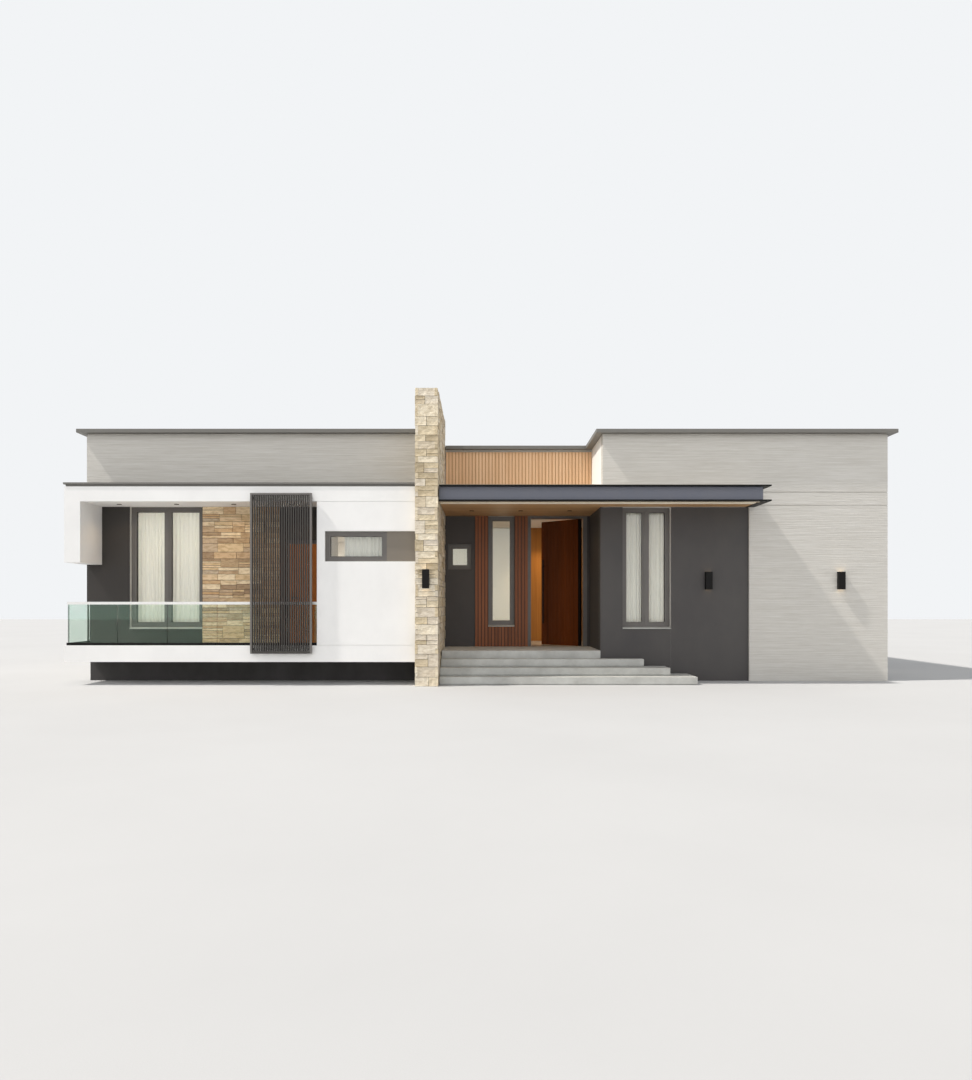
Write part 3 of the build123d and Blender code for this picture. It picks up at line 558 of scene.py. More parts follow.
BLACK = CoatedMetal(
    "black_powder_coat", "#100f0e", "#3c3a38", 0.5, shine=0.15,
    clouds=replace(CoatedMetal.clouds, most=0.06),
)
COPING_COAT = CoatedMetal("coping_powder_coat", "#6d6b66", "#8d8a84", 0.5)
ALUMINIUM = CoatedMetal("satin_aluminium", "#e2e1de", "#c4c2be", 0.35, metallic=0.3)
TAUPE = CoatedMetal("taupe_coated_panel", "#776f64", "#8a8478", 0.55)
LARCH = OiledTimber("oiled_larch", "#f6d0a8", "#deb083", 0.5)
WALNUT = OiledTimber("oiled_walnut", "#9b5f3c", "#653a22", 0.45)
DOOR_WALNUT = OiledTimber(
    "door_walnut", "#68310c", "#391804", 0.5, board_mm=97.0, turn=-45.0, shine=0.1
)
TEAK = OiledTimber("oiled_teak", "#c47836", "#985a26", 0.45, board_mm=110.0)
HALL_TEAK = OiledTimber("hall_teak", "#bd8543", "#8c5e2c", 0.4, board_mm=180.0)
OAK_FLOOR = OiledTimber("floor_oak", "#8f8375", "#7a6e60", 0.45, board_mm=160.0, along=Axis.Y)
SOFFIT_LARCH = OiledTimber(
    "soffit_larch", "#c79f75", "#9d774c", 0.5, board_mm=120.0, along=Axis.X, across=Axis.Y
)
GLASS = ClearGlass("float_glass", "#fafdfb", "#f8fcfa", 0.02)
RAIL_GLASS = ClearGlass("green_float_glass", "#eef9f2", "#f5fcf7", 0.02, tint="#b6e0c8")
LINEN = WovenCloth("linen_sheer", "#f6f5ef", "#e6e5dc", 0.85)
LENS = LampLens("opal_lens", "#ffe2b8", "#fff0d8", 0.3)
DIM_LENS = LampLens("dim_opal_lens", "#5a452c", "#4a3822", 0.3, strength=0.4)
BUFF_STONE = SplitStone(
    "split_sandstone", "#d2c2a6", "#c4b8a4", 0.85,
    tones=("#b9a98c", "#dfcfb0", "#f0e5cf", "#ded3c2", "#d3c2a2"),
    streaks=replace(SplitStone.streaks, most=0.45),
)
WARM_STONE = SplitStone(
    "warm_split_sandstone", "#bfa07a", "#bfae92", 0.85,
    tones=("#a3896e", "#e0c49a", "#f2dfbd", "#cfab80", "#cbb9a0"),
)

SLOT_FINISHES = {
    "white_render": WHITE, "pale_render": PALE, "charcoal_render": CHARCOAL,
    "concrete": CONCRETE, "ledgestone": CONCRETE, "slate_metal": SLATE,
    "dark_metal": DARK_COAT, "coping_metal": COPING_COAT, "light_metal": ALUMINIUM,
    "light_timber": LARCH, "dark_timber": WALNUT, "orange_timber": TEAK,
    "soffit_timber": SOFFIT_LARCH, "taupe_panel": TAUPE, "window_glass": GLASS,
    "curtain": WHITE,
}
ODD_FINISHES = {
    "floor_slab": OAK_FLOOR, "front_window_frames": BRONZE, "side_window_frames": BRONZE,
    "front_door_fittings": BLACK, "rail_channel": BLACK, "rail_glass": RAIL_GLASS,
    "hall_panelling": HALL_TEAK,
}


def link(name: str, data: bpy.types.ID) -> Piece:
    """Makes an object in the scene, at the origin.

    Args:
        name: The object's name.
        data: Its mesh, lamp or camera.

    Returns:
        The object.
    """
    made = bpy.data.objects.new(name, data)
    bpy.context.scene.collection.objects.link(made)
    return made


def mesh_object(
    name: str, points: list[Vector], faces: list[tuple[int, ...]],
    edges: list[tuple[int, int]] | None = None,
) -> Piece:
    """Makes a mesh object at the origin.

    Args:
        name: The object's name.
        points: Its corners, in metres.
        faces: Its faces, as numbers of corners.
        edges: Its loose edges, where it has any.

    Returns:
        The object, linked to the scene.
    """
    mesh = bpy.data.meshes.new(name)
    mesh.from_pydata([tuple(p) for p in points], edges or [], faces)
    return link(name, mesh)


def settle(piece: Piece) -> Piece:
    """Turns what a piece's modifiers make into its own plain mesh.

    Args:
        piece: The object with its modifiers.

    Returns:
        The same object, with no modifier left.
    """
    graph = bpy.context.evaluated_depsgraph_get()
    made = bpy.data.meshes.new_from_object(piece.evaluated_get(graph), depsgraph=graph)
    piece.modifiers.clear()
    piece.data = made
    made.name = piece.name
    return piece


def solids_of(node: str) -> list[tuple[Vector, Vector]]:
    """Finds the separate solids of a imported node.

    Args:
        node: The node's name.

    Returns:
        Each solid's lowest and highest corner, from left to right.
    """
    shape = bmesh.new()
    shape.from_mesh(frame["nodes"][node].data)
    bmesh.ops.remove_doubles(shape, verts=shape.verts, dist=MERGE_MM * MM)
    left = set(shape.verts)
    boxes: list[tuple[Vector, Vector]] = []
    while left:
        group = [left.pop()]
        for corner in group:
            near = {edge.other_vert(corner) for edge in corner.link_edges} & left
            left -= near
            group += near
        low, high = ([pick(c.co[i] for c in group) for i in range(3)] for pick in (min, max))
        boxes.append((Vector(low), Vector(high)))
    shape.free()
    return sorted(boxes, key=lambda box: tuple(round(c, 4) for c in box[0]))


def add_box(shape: bmesh.types.BMesh, low: Vector, high: Vector) -> list[bmesh.types.BMFace]:
    """Adds a box to a shape.

    Args:
        shape: The shape.
        low: The box's lowest corner.
        high: Its highest corner.

    Returns:
        The box's faces.
    """
    corners = bmesh.ops.create_cube(shape, size=1.0)["verts"]
    bmesh.ops.scale(shape, vec=high - low, verts=corners)
    bmesh.ops.translate(shape, vec=(low + high) / 2, verts=corners)
    return list(dict.fromkeys(face for corner in corners for face in corner.link_faces))


def dress_piece(piece: Piece, slot: str, *nodes: str) -> Piece:
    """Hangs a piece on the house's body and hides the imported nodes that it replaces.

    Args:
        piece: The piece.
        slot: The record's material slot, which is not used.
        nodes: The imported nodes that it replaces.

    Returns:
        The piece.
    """
    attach(piece, HOUSE)
    if nodes:
        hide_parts(*nodes)
    return piece


class GeometryTree(Nodes):
    """A geometry tree with named inputs, which ends in real faces with their material."""

    def __init__(self, name: str) -> None:
        """Starts the tree with its geometry in and out.

        Args:
            name: The tree's name.
        """
        super().__init__(bpy.data.node_groups.new(name, "GeometryNodeTree"))
        for way in ("INPUT", "OUTPUT"):
            self.tree.interface.new_socket("Geometry", in_out=way, socket_type="NodeSocketGeometry")
        self.start = self.add("NodeGroupInput").node.outputs
        self.end = self.tree.nodes.new("NodeGroupOutput")

    def size(self, name: str, value: float) -> Socket:
        """Adds a named input.

        Args:
            name: The input's name.
            value: Its value, which may be a whole number.

        Returns:
            The socket that carries it.
        """
        kind = "NodeSocketInt" if isinstance(value, int) else "NodeSocketFloat"
        made = self.tree.interface.new_socket(name, in_out="INPUT", socket_type=kind)
        made.default_value = value
        return self.start[name]

    def chance(self, seed: Socket) -> Socket:
        """Draws a number from 0 to 1 for each point."""
        return self.add("FunctionNodeRandomValue", {"Seed": seed}, 1, data_type="FLOAT")

    def known(self, name: str, kind: str = "FLOAT") -> Socket:
        """Reads what each point has been given under a name."""
        return self.add("GeometryNodeInputNamedAttribute", {"Name": name}, data_type=kind)

    def mark(self, geometry: Socket, name: str, value: Socket) -> Socket:
        """Gives each point a value under a name."""
        inputs = {"Geometry": geometry, "Name": name, "Value": value}
        return self.add("GeometryNodeStoreNamedAttribute", inputs, data_type="FLOAT")

    def shift(self, geometry: Socket, way: Socket | Triple, times: Socket) -> Socket:
        """Moves each point some times a vector."""
        offset = self.add("ShaderNodeVectorMath", {0: way, "Scale": times}, operation="SCALE")
        return self.add("GeometryNodeSetPosition", {"Geometry": geometry, "Offset": offset})

    def repeat(self, places: Socket, thing: Socket, **more: Socket) -> Socket:
        """Puts a thing on each point."""
        inputs = {"Points": places, "Instance": thing}
        return self.add("GeometryNodeInstanceOnPoints", inputs | more)

    def run(self, piece: Piece, geometry: Socket, material: Material) -> Piece:
        """Ends the tree in real faces, runs it and keeps the result as the piece's plain mesh.

        Args:
            piece: The object that holds the points or edges.
            geometry: The geometry so far.
            material: Its material.

        Returns:
            The same object.
        """
        real = self.add("GeometryNodeRealizeInstances", {0: geometry})
        coated = self.add("GeometryNodeSetMaterial", {"Geometry": real, "Material": material})
        self.tree.links.new(coated, self.end.inputs[0])
        piece.modifiers.new(self.tree.name, "NODES").node_group = self.tree
        return settle(piece)


@dataclass
class Stone:
    """One stone: the middle of its face, its length, depth and height, and the way it looks."""

    middle: Vector
    size: Vector
    facing: Facing


@dataclass
class LedgeCladding:
    """Stones in rough courses over a bed of mortar, laid by one geometry tree.

    The courses' height, the stones' length and the height of the flat stones in a course each have
    a smallest and a largest size.
    """

    finish: SplitStone
    course: Span
    length: Span
    bed: Span
    uneven: float = 0.22
    joint: float = 0.007
    thickness: float = 0.06
    proud: float = 0.012
    split: float = 0.014
    break_scale: float = 15.0
    break_detail: float = 3.0
    break_spread: float = 40.0
    rim: float = 0.16
    cuts: tuple[int, int, int] = (7, 2, 4)
    seed: int = 11

    def __post_init__(self) -> None:
        """Starts the source of chance."""
        self.rng = random.Random(self.seed)

    def row(self, start: float, end: float) -> list[Span]:
        """Divides a stretch of a course into stones.

        Args:
            start: Where the stretch starts.
            end: Where it ends.

        Returns:
            Each stone's start and end.
        """
        short, long = self.length
        cuts = [start]
        while end - cuts[-1] > long:
            cuts.append(cuts[-1] + self.rng.uniform(short, long))
        if end - cuts[-1] < short and len(cuts) > 1:
            cuts[-1] = (cuts[-2] + end) / 2
        return list(zip(cuts, cuts[1:] + [end]))

    def courses(self, bottom: float, top: float) -> list[Span]:
        """Divides a height into courses.

        Args:
            bottom: The lowest level.
            top: The highest level.

        Returns:
            Each course's bottom and top.
        """
        levels = [bottom]
        while top - levels[-1] > sum(self.course):
            levels.append(levels[-1] + self.rng.uniform(*self.course))
        middle = (levels[-1] + top) / 2
        return list(zip(levels, levels[1:] + [middle])) + [(middle, top)]

    def beds(self, low: float, high: float) -> list[Span]:
        """Splits one place in a course into one to four flat stones.

        Args:
            low: The course's bottom.
            high: The course's top.

        Returns:
            Each stone's bottom and top.
        """
        count = max(1, round((high - low) / self.rng.uniform(*self.bed)))
        shares = [i + self.rng.uniform(-self.uneven, self.uneven) for i in range(1, count)]
        cuts = [low + (high - low) * share / count for share in shares]
        return list(zip([low] + cuts, cuts + [high]))

    def lay(
        self, courses: list[Span], facing: Facing, corner: Span, width: float, owns: int
    ) -> list[Stone]:
        """Lays the stones of one face.

        Args:
            courses: Each course's bottom and top.
            facing: The way the face looks.
            corner: The X and Y of its left edge, as someone who looks at it sees it.
            width: The face's width.
            owns: 0 or 1 for the courses whose stones run out to the corners, 2 for all.

        Returns:
            The stones.
        """
        stones: list[Stone] = []
        for i, (low, high) in enumerate(courses):
            inset = self.joint if owns in (2, i % 2) else self.thickness
            for start, end in self.row(inset, width - inset):
                for bottom, top in self.beds(low, high):
                    middle = Vector((*corner, 0)) + facing.along * ((start + end) / 2)
                    middle.z = (bottom + top) / 2
                    size = (end - start - self.joint, self.thickness, top - bottom - self.joint)
                    stones.append(Stone(middle, Vector(size), facing))
        return stones

    def block(self, tree: GeometryTree) -> Socket:
        """Cuts one block, whose face is marked and whose face's rim is knocked back.

        Args:
            tree: The stones' tree.

        Returns:
            The block, one metre wide, deep and high.
        """
        near_end = 0.49
        cuts = {f"Vertices {axis.name}": self.cuts[axis.value] for axis in Axis}
        place = tree.add("GeometryNodeInputPosition")
        front = tree.math("LESS_THAN", tree.part(place, Axis.Y), -near_end)
        sides = (tree.math("ABSOLUTE", tree.part(place, axis)) for axis in (Axis.X, Axis.Z))
        edge = tree.math("GREATER_THAN", tree.math("MAXIMUM", *sides), near_end)
        back = tree.math("MULTIPLY", tree.math("MULTIPLY", edge, front), tree.size("Rim", self.rim))
        cube = tree.add("GeometryNodeMeshCube", {"Size": (1.0, 1.0, 1.0), **cuts})
        return tree.mark(tree.shift(cube, (0.0, 1.0, 0.0), back), "front", front)

    def cut(self, piece: Piece) -> None:
        """Puts a stone on each of a piece's points, by a geometry tree.

        Args:
            piece: The piece, whose points know their stone's size, turn and way outward.
        """
        tree = GeometryTree("split_stones")
        proud, split = tree.size("Proud", self.proud), tree.size("Split", self.split)
        seed = tree.size("Seed", self.seed)
        outward = tree.known("outward", "FLOAT_VECTOR")
        signs = {0: outward, 1: (-1.0, -1.0, -1.0)}
        inward = tree.add("ShaderNodeVectorMath", signs, operation="MULTIPLY")

        # Each place gets a tone of its own and sinks into the bed by a little
        places = tree.mark(tree.start[0], "shade", tree.chance(seed))
        sunk = tree.math("MULTIPLY", tree.chance(tree.math("ADD", seed, 1.0)), proud)
        places = tree.shift(places, inward, sunk)
        spin = tree.add("ShaderNodeCombineXYZ", {2: tree.known("turn")})
        turn = tree.add("FunctionNodeEulerToRotation", {0: spin})
        size = tree.known("size", "FLOAT_VECTOR")
        stones = tree.repeat(places, self.block(tree), Rotation=turn, Scale=size)

        # The faces break back unevenly, each in its own way
        stones = tree.add("GeometryNodeRealizeInstances", {0: stones})
        own_way = tree.math("MULTIPLY", tree.known("shade"), self.break_spread)
        noise = {"W": own_way, "Scale": self.break_scale, "Detail": self.break_detail}
        bite = tree.add("ShaderNodeTexNoise", noise, noise_dimensions="4D")
        for factor in (tree.known("front"), split, 2.0):
            bite = tree.math("MULTIPLY", bite, factor)
        tree.run(piece, tree.shift(stones, inward, bite), self.finish.make())

    def clad(
        self, name: str, node: str, sides: list[tuple], bed_low: Vector, bed_high: Vector
    ) -> list[Piece]:
        """Makes the stones and the mortar bed behind them one piece, with a stone top.

        Args:
            name: The piece's name.
            node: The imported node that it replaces.
            sides: The faces to lay, each as lay takes them after the courses.
            bed_low: The bed's lowest corner.
            bed_high: The bed's highest corner.

        Returns:
            The piece.
        """
        low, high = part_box(node)
        courses = self.courses(low.z, high.z)
        stones = [stone for side in sides for stone in self.lay(courses, *side)]
        points = [s.middle - s.facing.outward * (self.thickness / 2) for s in stones]
        piece = mesh_object(name, points, [])
        for label, kind, channel, values in (
            ("size", "FLOAT_VECTOR", "vector", [c for s in stones for c in s.size]),
            ("outward", "FLOAT_VECTOR", "vector", [c for s in stones for c in s.facing.outward]),
            ("turn", "FLOAT", "value", [math.radians(s.facing.value) for s in stones]),
        ):
            piece.data.attributes.new(label, kind, "POINT").data.foreach_set(channel, values)
        self.cut(piece)
        shape = bmesh.new()
        shape.from_mesh(piece.data)
        for face in add_box(shape, bed_low, bed_high):
            if face.normal.z < LEVEL_NORMAL:
                face.material_index = len(piece.data.materials)
        shape.to_mesh(piece.data)
        shape.free()
        piece.data.materials.append(MORTAR.make())
        return [dress_piece(piece, "ledgestone", node)]


@dataclass
class StonePier:
    """The tall stone pier between the balcony's bay and the porch."""

    cladding: LedgeCladding
    node: str = "stone_pier"
    bed_inset: float = 0.03

    def build(self) -> list[Piece]:
        """Clads the pier on its four sides.

        Returns:
            The piece.
        """
        low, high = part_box(self.node)
        width, depth = high.x - low.x, high.y - low.y
        sides = [
            (Facing.STREET, (low.x, low.y), width, 0),
            (Facing.EAST, (high.x, low.y), depth, 1),
            (Facing.GARDEN, (high.x, high.y), width, 0),
            (Facing.WEST, (low.x, high.y), depth, 1),
        ]
        inset = self.bed_inset
        bed_low = low + Vector((inset, inset, 0))
        bed_high = high - Vector((inset, inset, inset / 2))
        return self.cladding.clad("pier_stones", self.node, sides, bed_low, bed_high)


@dataclass
class BalconyStone:
    """The stone panel on the balcony's back wall."""

    cladding: LedgeCladding
    node: str = "balcony_stone"
    bed_thickness: float = 0.012
    gap: float = 0.004
    proud: float = 0.008

    def build(self) -> list[Piece]:
        """Clads the panel.

        Returns:
            The piece.
        """
        low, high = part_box(self.node)
        flat = replace(self.cladding, thickness=high.y - low.y - self.gap, proud=self.proud)
        sides = [(Facing.STREET, (low.x, low.y), high.x - low.x, 2)]
        bed_low = Vector((low.x, high.y - self.bed_thickness, low.z))
        return flat.clad("balcony_stones", self.node, sides, bed_low, high)


@dataclass
class Curtain:
    """A sheer that hangs in pleats from its track."""

    node: str
    material: Material
    seed: int
    pleat: float = 0.082
    pleat_depth: float = 0.036
    width_shares: Span = (0.75, 1.25)
    depth_shares: Span = (0.72, 1.0)
    lean: float = 0.12
    gathered: float = 0.62
    gather_share: float = 1 / 2.4
    cloth: float = 0.0012
    rows: int = 26
    steps: int = 10

    def folds(self, low: Vector, high: Vector) -> list[list[Vector]]:
        """Works out the cloth's points, row by row from the track down.

        Args:
            low: The lowest corner of the place it hangs in.
            high: The highest corner.

        Returns:
            The rows of points.
        """
        rng = random.Random(self.seed)
        count = round((high.x - low.x) / self.pleat)
        weights = [rng.uniform(*self.width_shares) for _ in range(count)]
        depths = [rng.uniform(*self.depth_shares) * self.pleat_depth / 2 for _ in range(count)]
        leans = [rng.uniform(-self.lean, self.lean) for _ in range(count)]
        width = high.x - low.x - 2 * self.cloth
        edges = [low.x + self.cloth]
        for weight in weights:
            edges.append(edges[-1] + weight / sum(weights) * width)
        rows: list[list[Vector]] = []
        for row in range(self.rows + 1):
            fall = row / self.rows
            depth = self.gathered + (1 - self.gathered) * min(1.0, fall / self.gather_share)
            level = high.z + (low.z - high.z) * fall
            line: list[Vector] = []
            for i in range(count):
                for step in range(self.steps + (i == count - 1)):
                    share = step / self.steps
                    wave = math.sin(math.tau * share + leans[i] * math.sin(math.tau * fall))
                    x = edges[i] + (edges[i + 1] - edges[i]) * share
                    line.append(Vector((x, (low.y + high.y) / 2 + wave * depth * depths[i], level)))
            rows.append(line)
        return rows

    def build(self) -> list[Piece]:
        """Hangs the curtain where its solid is.

        Returns:
            The piece.
        """
        low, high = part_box(self.node)
        rows = self.folds(low, high)
        count = len(rows[0])
        firsts = (r * count + c for r in range(self.rows) for c in range(count - 1))
        faces = [(n, n + count, n + count + 1, n + 1) for n in firsts]
        name = self.node.replace("curtain", "sheer")
        piece = mesh_object(name, [point for row in rows for point in row], faces)
        piece.data.materials.append(self.material)
        piece.data.shade_smooth()
        solid = piece.modifiers.new("cloth", "SOLIDIFY")
        solid.thickness = self.cloth
        solid.offset = 0.0
        settle(piece)
        dress_piece(piece, "curtain", self.node)
        return [piece]


def hang_lamp(
    name: str, kind: str, power: float, colour: str, place: Triple | Vector, **settings: object
) -> Piece:
    """Hangs a lamp, which shines down.

    Args:
        name: The lamp's name.
        kind: Its type name.
        power: Its power in watts, or what a sun sheds in watts per square metre.
        colour: Its colour.
        place: Where it hangs.
        settings: The lamp's own properties.

    Returns:
        The lamp.
    """
    lamp = bpy.data.lights.new(name, kind)
    for setting, value in {"energy": power, "color": linear(colour)[:3], **settings}.items():
        setattr(lamp, setting, value)
    light = link(name, lamp)
    light.location = place
    return light


@dataclass(frozen=True)
class Cone:
    """How a spot shines: how wide, in degrees, and what share of the cone fades out."""

    width: float
    fade: float = 0.8

    def settings(self, radius: float) -> dict[str, float]:
        """Gives the settings of a spot of some radius."""
        size = {"spot_size": math.radians(self.width), "spot_blend": self.fade}
        return {**size, "shadow_soft_size": radius}


@dataclass
class CeilingLights:
    """The round lights in the balcony's and the porch's ceilings, laid by two geometry trees."""

    metal: Material
    lens: Material
    node: str = "downlights"
    ring_width: float = 0.026
    ring_sides: int = 40
    rounding: float = 0.003
    rounding_steps: int = 3
    lens_depth: float = 0.002
    lens_sides: int = 32
    power: float = 14.0
    warm: str = "#ffd9a6"
    cone: Cone = Cone(130.0)

    def rings(self, places: list[Vector], radius: float, height: float) -> Piece:
        """Puts a metal ring on each place.

        Args:
            places: The middles of the lights.
            radius: The ring's outer radius.
            height: The ring's height.

        Returns:
            The piece.
        """
        tree = GeometryTree("light_rings")
        outer, tall = tree.size("Radius", radius), tree.size("Height", height)
        wide, soft = tree.size("Width", self.ring_width), tree.size("Rounding", self.rounding)
        middle = tree.math("SUBTRACT", outer, tree.math("MULTIPLY", wide, 0.5))
        circle = {"Resolution": self.ring_sides, "Radius": middle}
        path = tree.add("GeometryNodeCurvePrimitiveCircle", circle)
        sides = {"Width": wide, "Height": tall}
        section = tree.add("GeometryNodeCurvePrimitiveQuadrilateral", sides)
        corners = {"Curve": section, "Radius": soft, "Count": self.rounding_steps}
        section = tree.add("GeometryNodeFilletCurve", corners, mode="POLY")
        ring = tree.add("GeometryNodeCurveToMesh", {"Curve": path, "Profile Curve": section})
        piece = mesh_object("downlight_rings", places, [])
        return tree.run(piece, tree.repeat(tree.start[0], ring), self.metal)

    def lenses(self, places: list[Vector], radius: float) -> Piece:
        """Puts a lens on each place.

        Args:
            places: The middles of the lenses.
            radius: The lens's radius.

        Returns:
            The piece.
        """
        tree = GeometryTree("light_lenses")
        size = {"Radius": tree.size("Radius", radius), "Depth": self.lens_depth}
        lens = tree.add("GeometryNodeMeshCylinder", {"Vertices": self.lens_sides, **size})
        piece = mesh_object("downlight_lenses", places, [])
        return tree.run(piece, tree.repeat(tree.start[0], lens), self.lens)

    def build(self) -> list[Piece]:
        """Fits a light where each packed one is, and lets it shine.

        Returns:
            The rings and the lenses.
        """
        boxes = solids_of(self.node)
        low, high = boxes[0]
        radius, height = (high.x - low.x) / 2, high.z - low.z
        middles = [(low + high) / 2 for low, high in boxes]
        down = Vector((0, 0, (self.lens_depth - height) / 2))
        rings = self.rings(middles, radius, height)
        lenses = self.lenses([middle + down for middle in middles], radius - self.ring_width)
        cone = self.cone.settings(radius)
        for number, middle in enumerate(middles):
            place = middle - Vector((0, 0, height))
            hang_lamp(f"downlight_{number}", "SPOT", self.power, self.warm, place, **cone)
        return [dress_piece(piece, "dark_metal", self.node) for piece in (rings, lenses)]


@dataclass
class WallLamps:
    """The slim boxes on the walls, which shine up and down."""

    metal: Material
    lens: Material
    node: str = "wall_lights"
    wall: float = 0.006
    well: float = 0.03
    bevel: float = 0.003
    bevel_steps: int = 2

    def build(self) -> list[Piece]:
        """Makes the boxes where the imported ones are, open above and below over their lenses.

        Returns:
            The piece.
        """
        shape = bmesh.new()
        for low, high in solids_of(self.node):
            faces = add_box(shape, low, high)
            for end in [face for face in faces if abs(face.normal.z) > LEVEL_NORMAL]:
                bmesh.ops.inset_individual(shape, faces=[end], thickness=self.wall)
                inward = Vector((0, 0, -math.copysign(self.well, end.normal.z)))
                made = bmesh.ops.extrude_face_region(shape, geom=[end])["geom"]
                shape.faces.remove(end)
                floor = [item for item in made if isinstance(item, bmesh.types.BMVert)]
                bmesh.ops.translate(shape, vec=inward, verts=floor)
                for face in made:
                    if isinstance(face, bmesh.types.BMFace):
                        face.material_index = 1
        piece = mesh_object("wall_lamps", [], [])
        shape.to_mesh(piece.data)
        shape.free()
        for material in (self.metal, self.lens):
            piece.data.materials.append(material)
        soft = piece.modifiers.new("edges", "BEVEL")
        soft.width = self.bevel
        soft.segments = self.bevel_steps
        return [dress_piece(settle(piece), "dark_metal", self.node)]


@dataclass
class GlazingBeads:
    """The black rubber beads that hold each pane in its sash, laid by one geometry tree."""

    rubber: Material
    nodes: tuple[str, ...] = ("front_window_glass", "side_window_glass")
    radius: float = 0.005
    sides: int = 6

    def outline(self, low: Vector, high: Vector) -> list[Vector]:
        """Finds where a pane's beads run.

        Args:
            low: The pane's lowest corner.
            high: Its highest corner.

        Returns:
            The four corners on one face of the pane, then those on the other.
        """
        wide = Axis.Y.value if high.x - low.x < high.y - low.y else Axis.X.value
        middle = (low + high) / 2
        corners = []
        for face in (low, high):
            for side, height in ((low, low), (high, low), (high, high), (low, high)):
                corner = face.copy()
                for i, end in ((wide, side), (Axis.Z.value, height)):
                    corner[i] = end[i] + math.copysign(self.radius, middle[i] - end[i])
                corners.append(corner)
        return corners

    def build(self) -> list[Piece]:
        """Runs a bead round both faces of each pane.

        Returns:
            The piece.
        """
        panes = [box for node in self.nodes for box in solids_of(node)]
        corners = [corner for low, high in panes for corner in self.outline(low, high)]
        edges = [(n, n - 3 if n % 4 == 3 else n + 1) for n in range(len(corners))]
        tree = GeometryTree("glazing_beads")
        path = tree.add("GeometryNodeMeshToCurve", {0: tree.start[0]})
        circle = {"Resolution": self.sides, "Radius": tree.size("Radius", self.radius)}
        section = tree.add("GeometryNodeCurvePrimitiveCircle", circle)
        beads = tree.add("GeometryNodeCurveToMesh", {"Curve": path, "Profile Curve": section})
        piece = mesh_object("glazing_beads", corners, [], edges)
        return [dress_piece(tree.run(piece, beads, self.rubber), "dark_metal")]


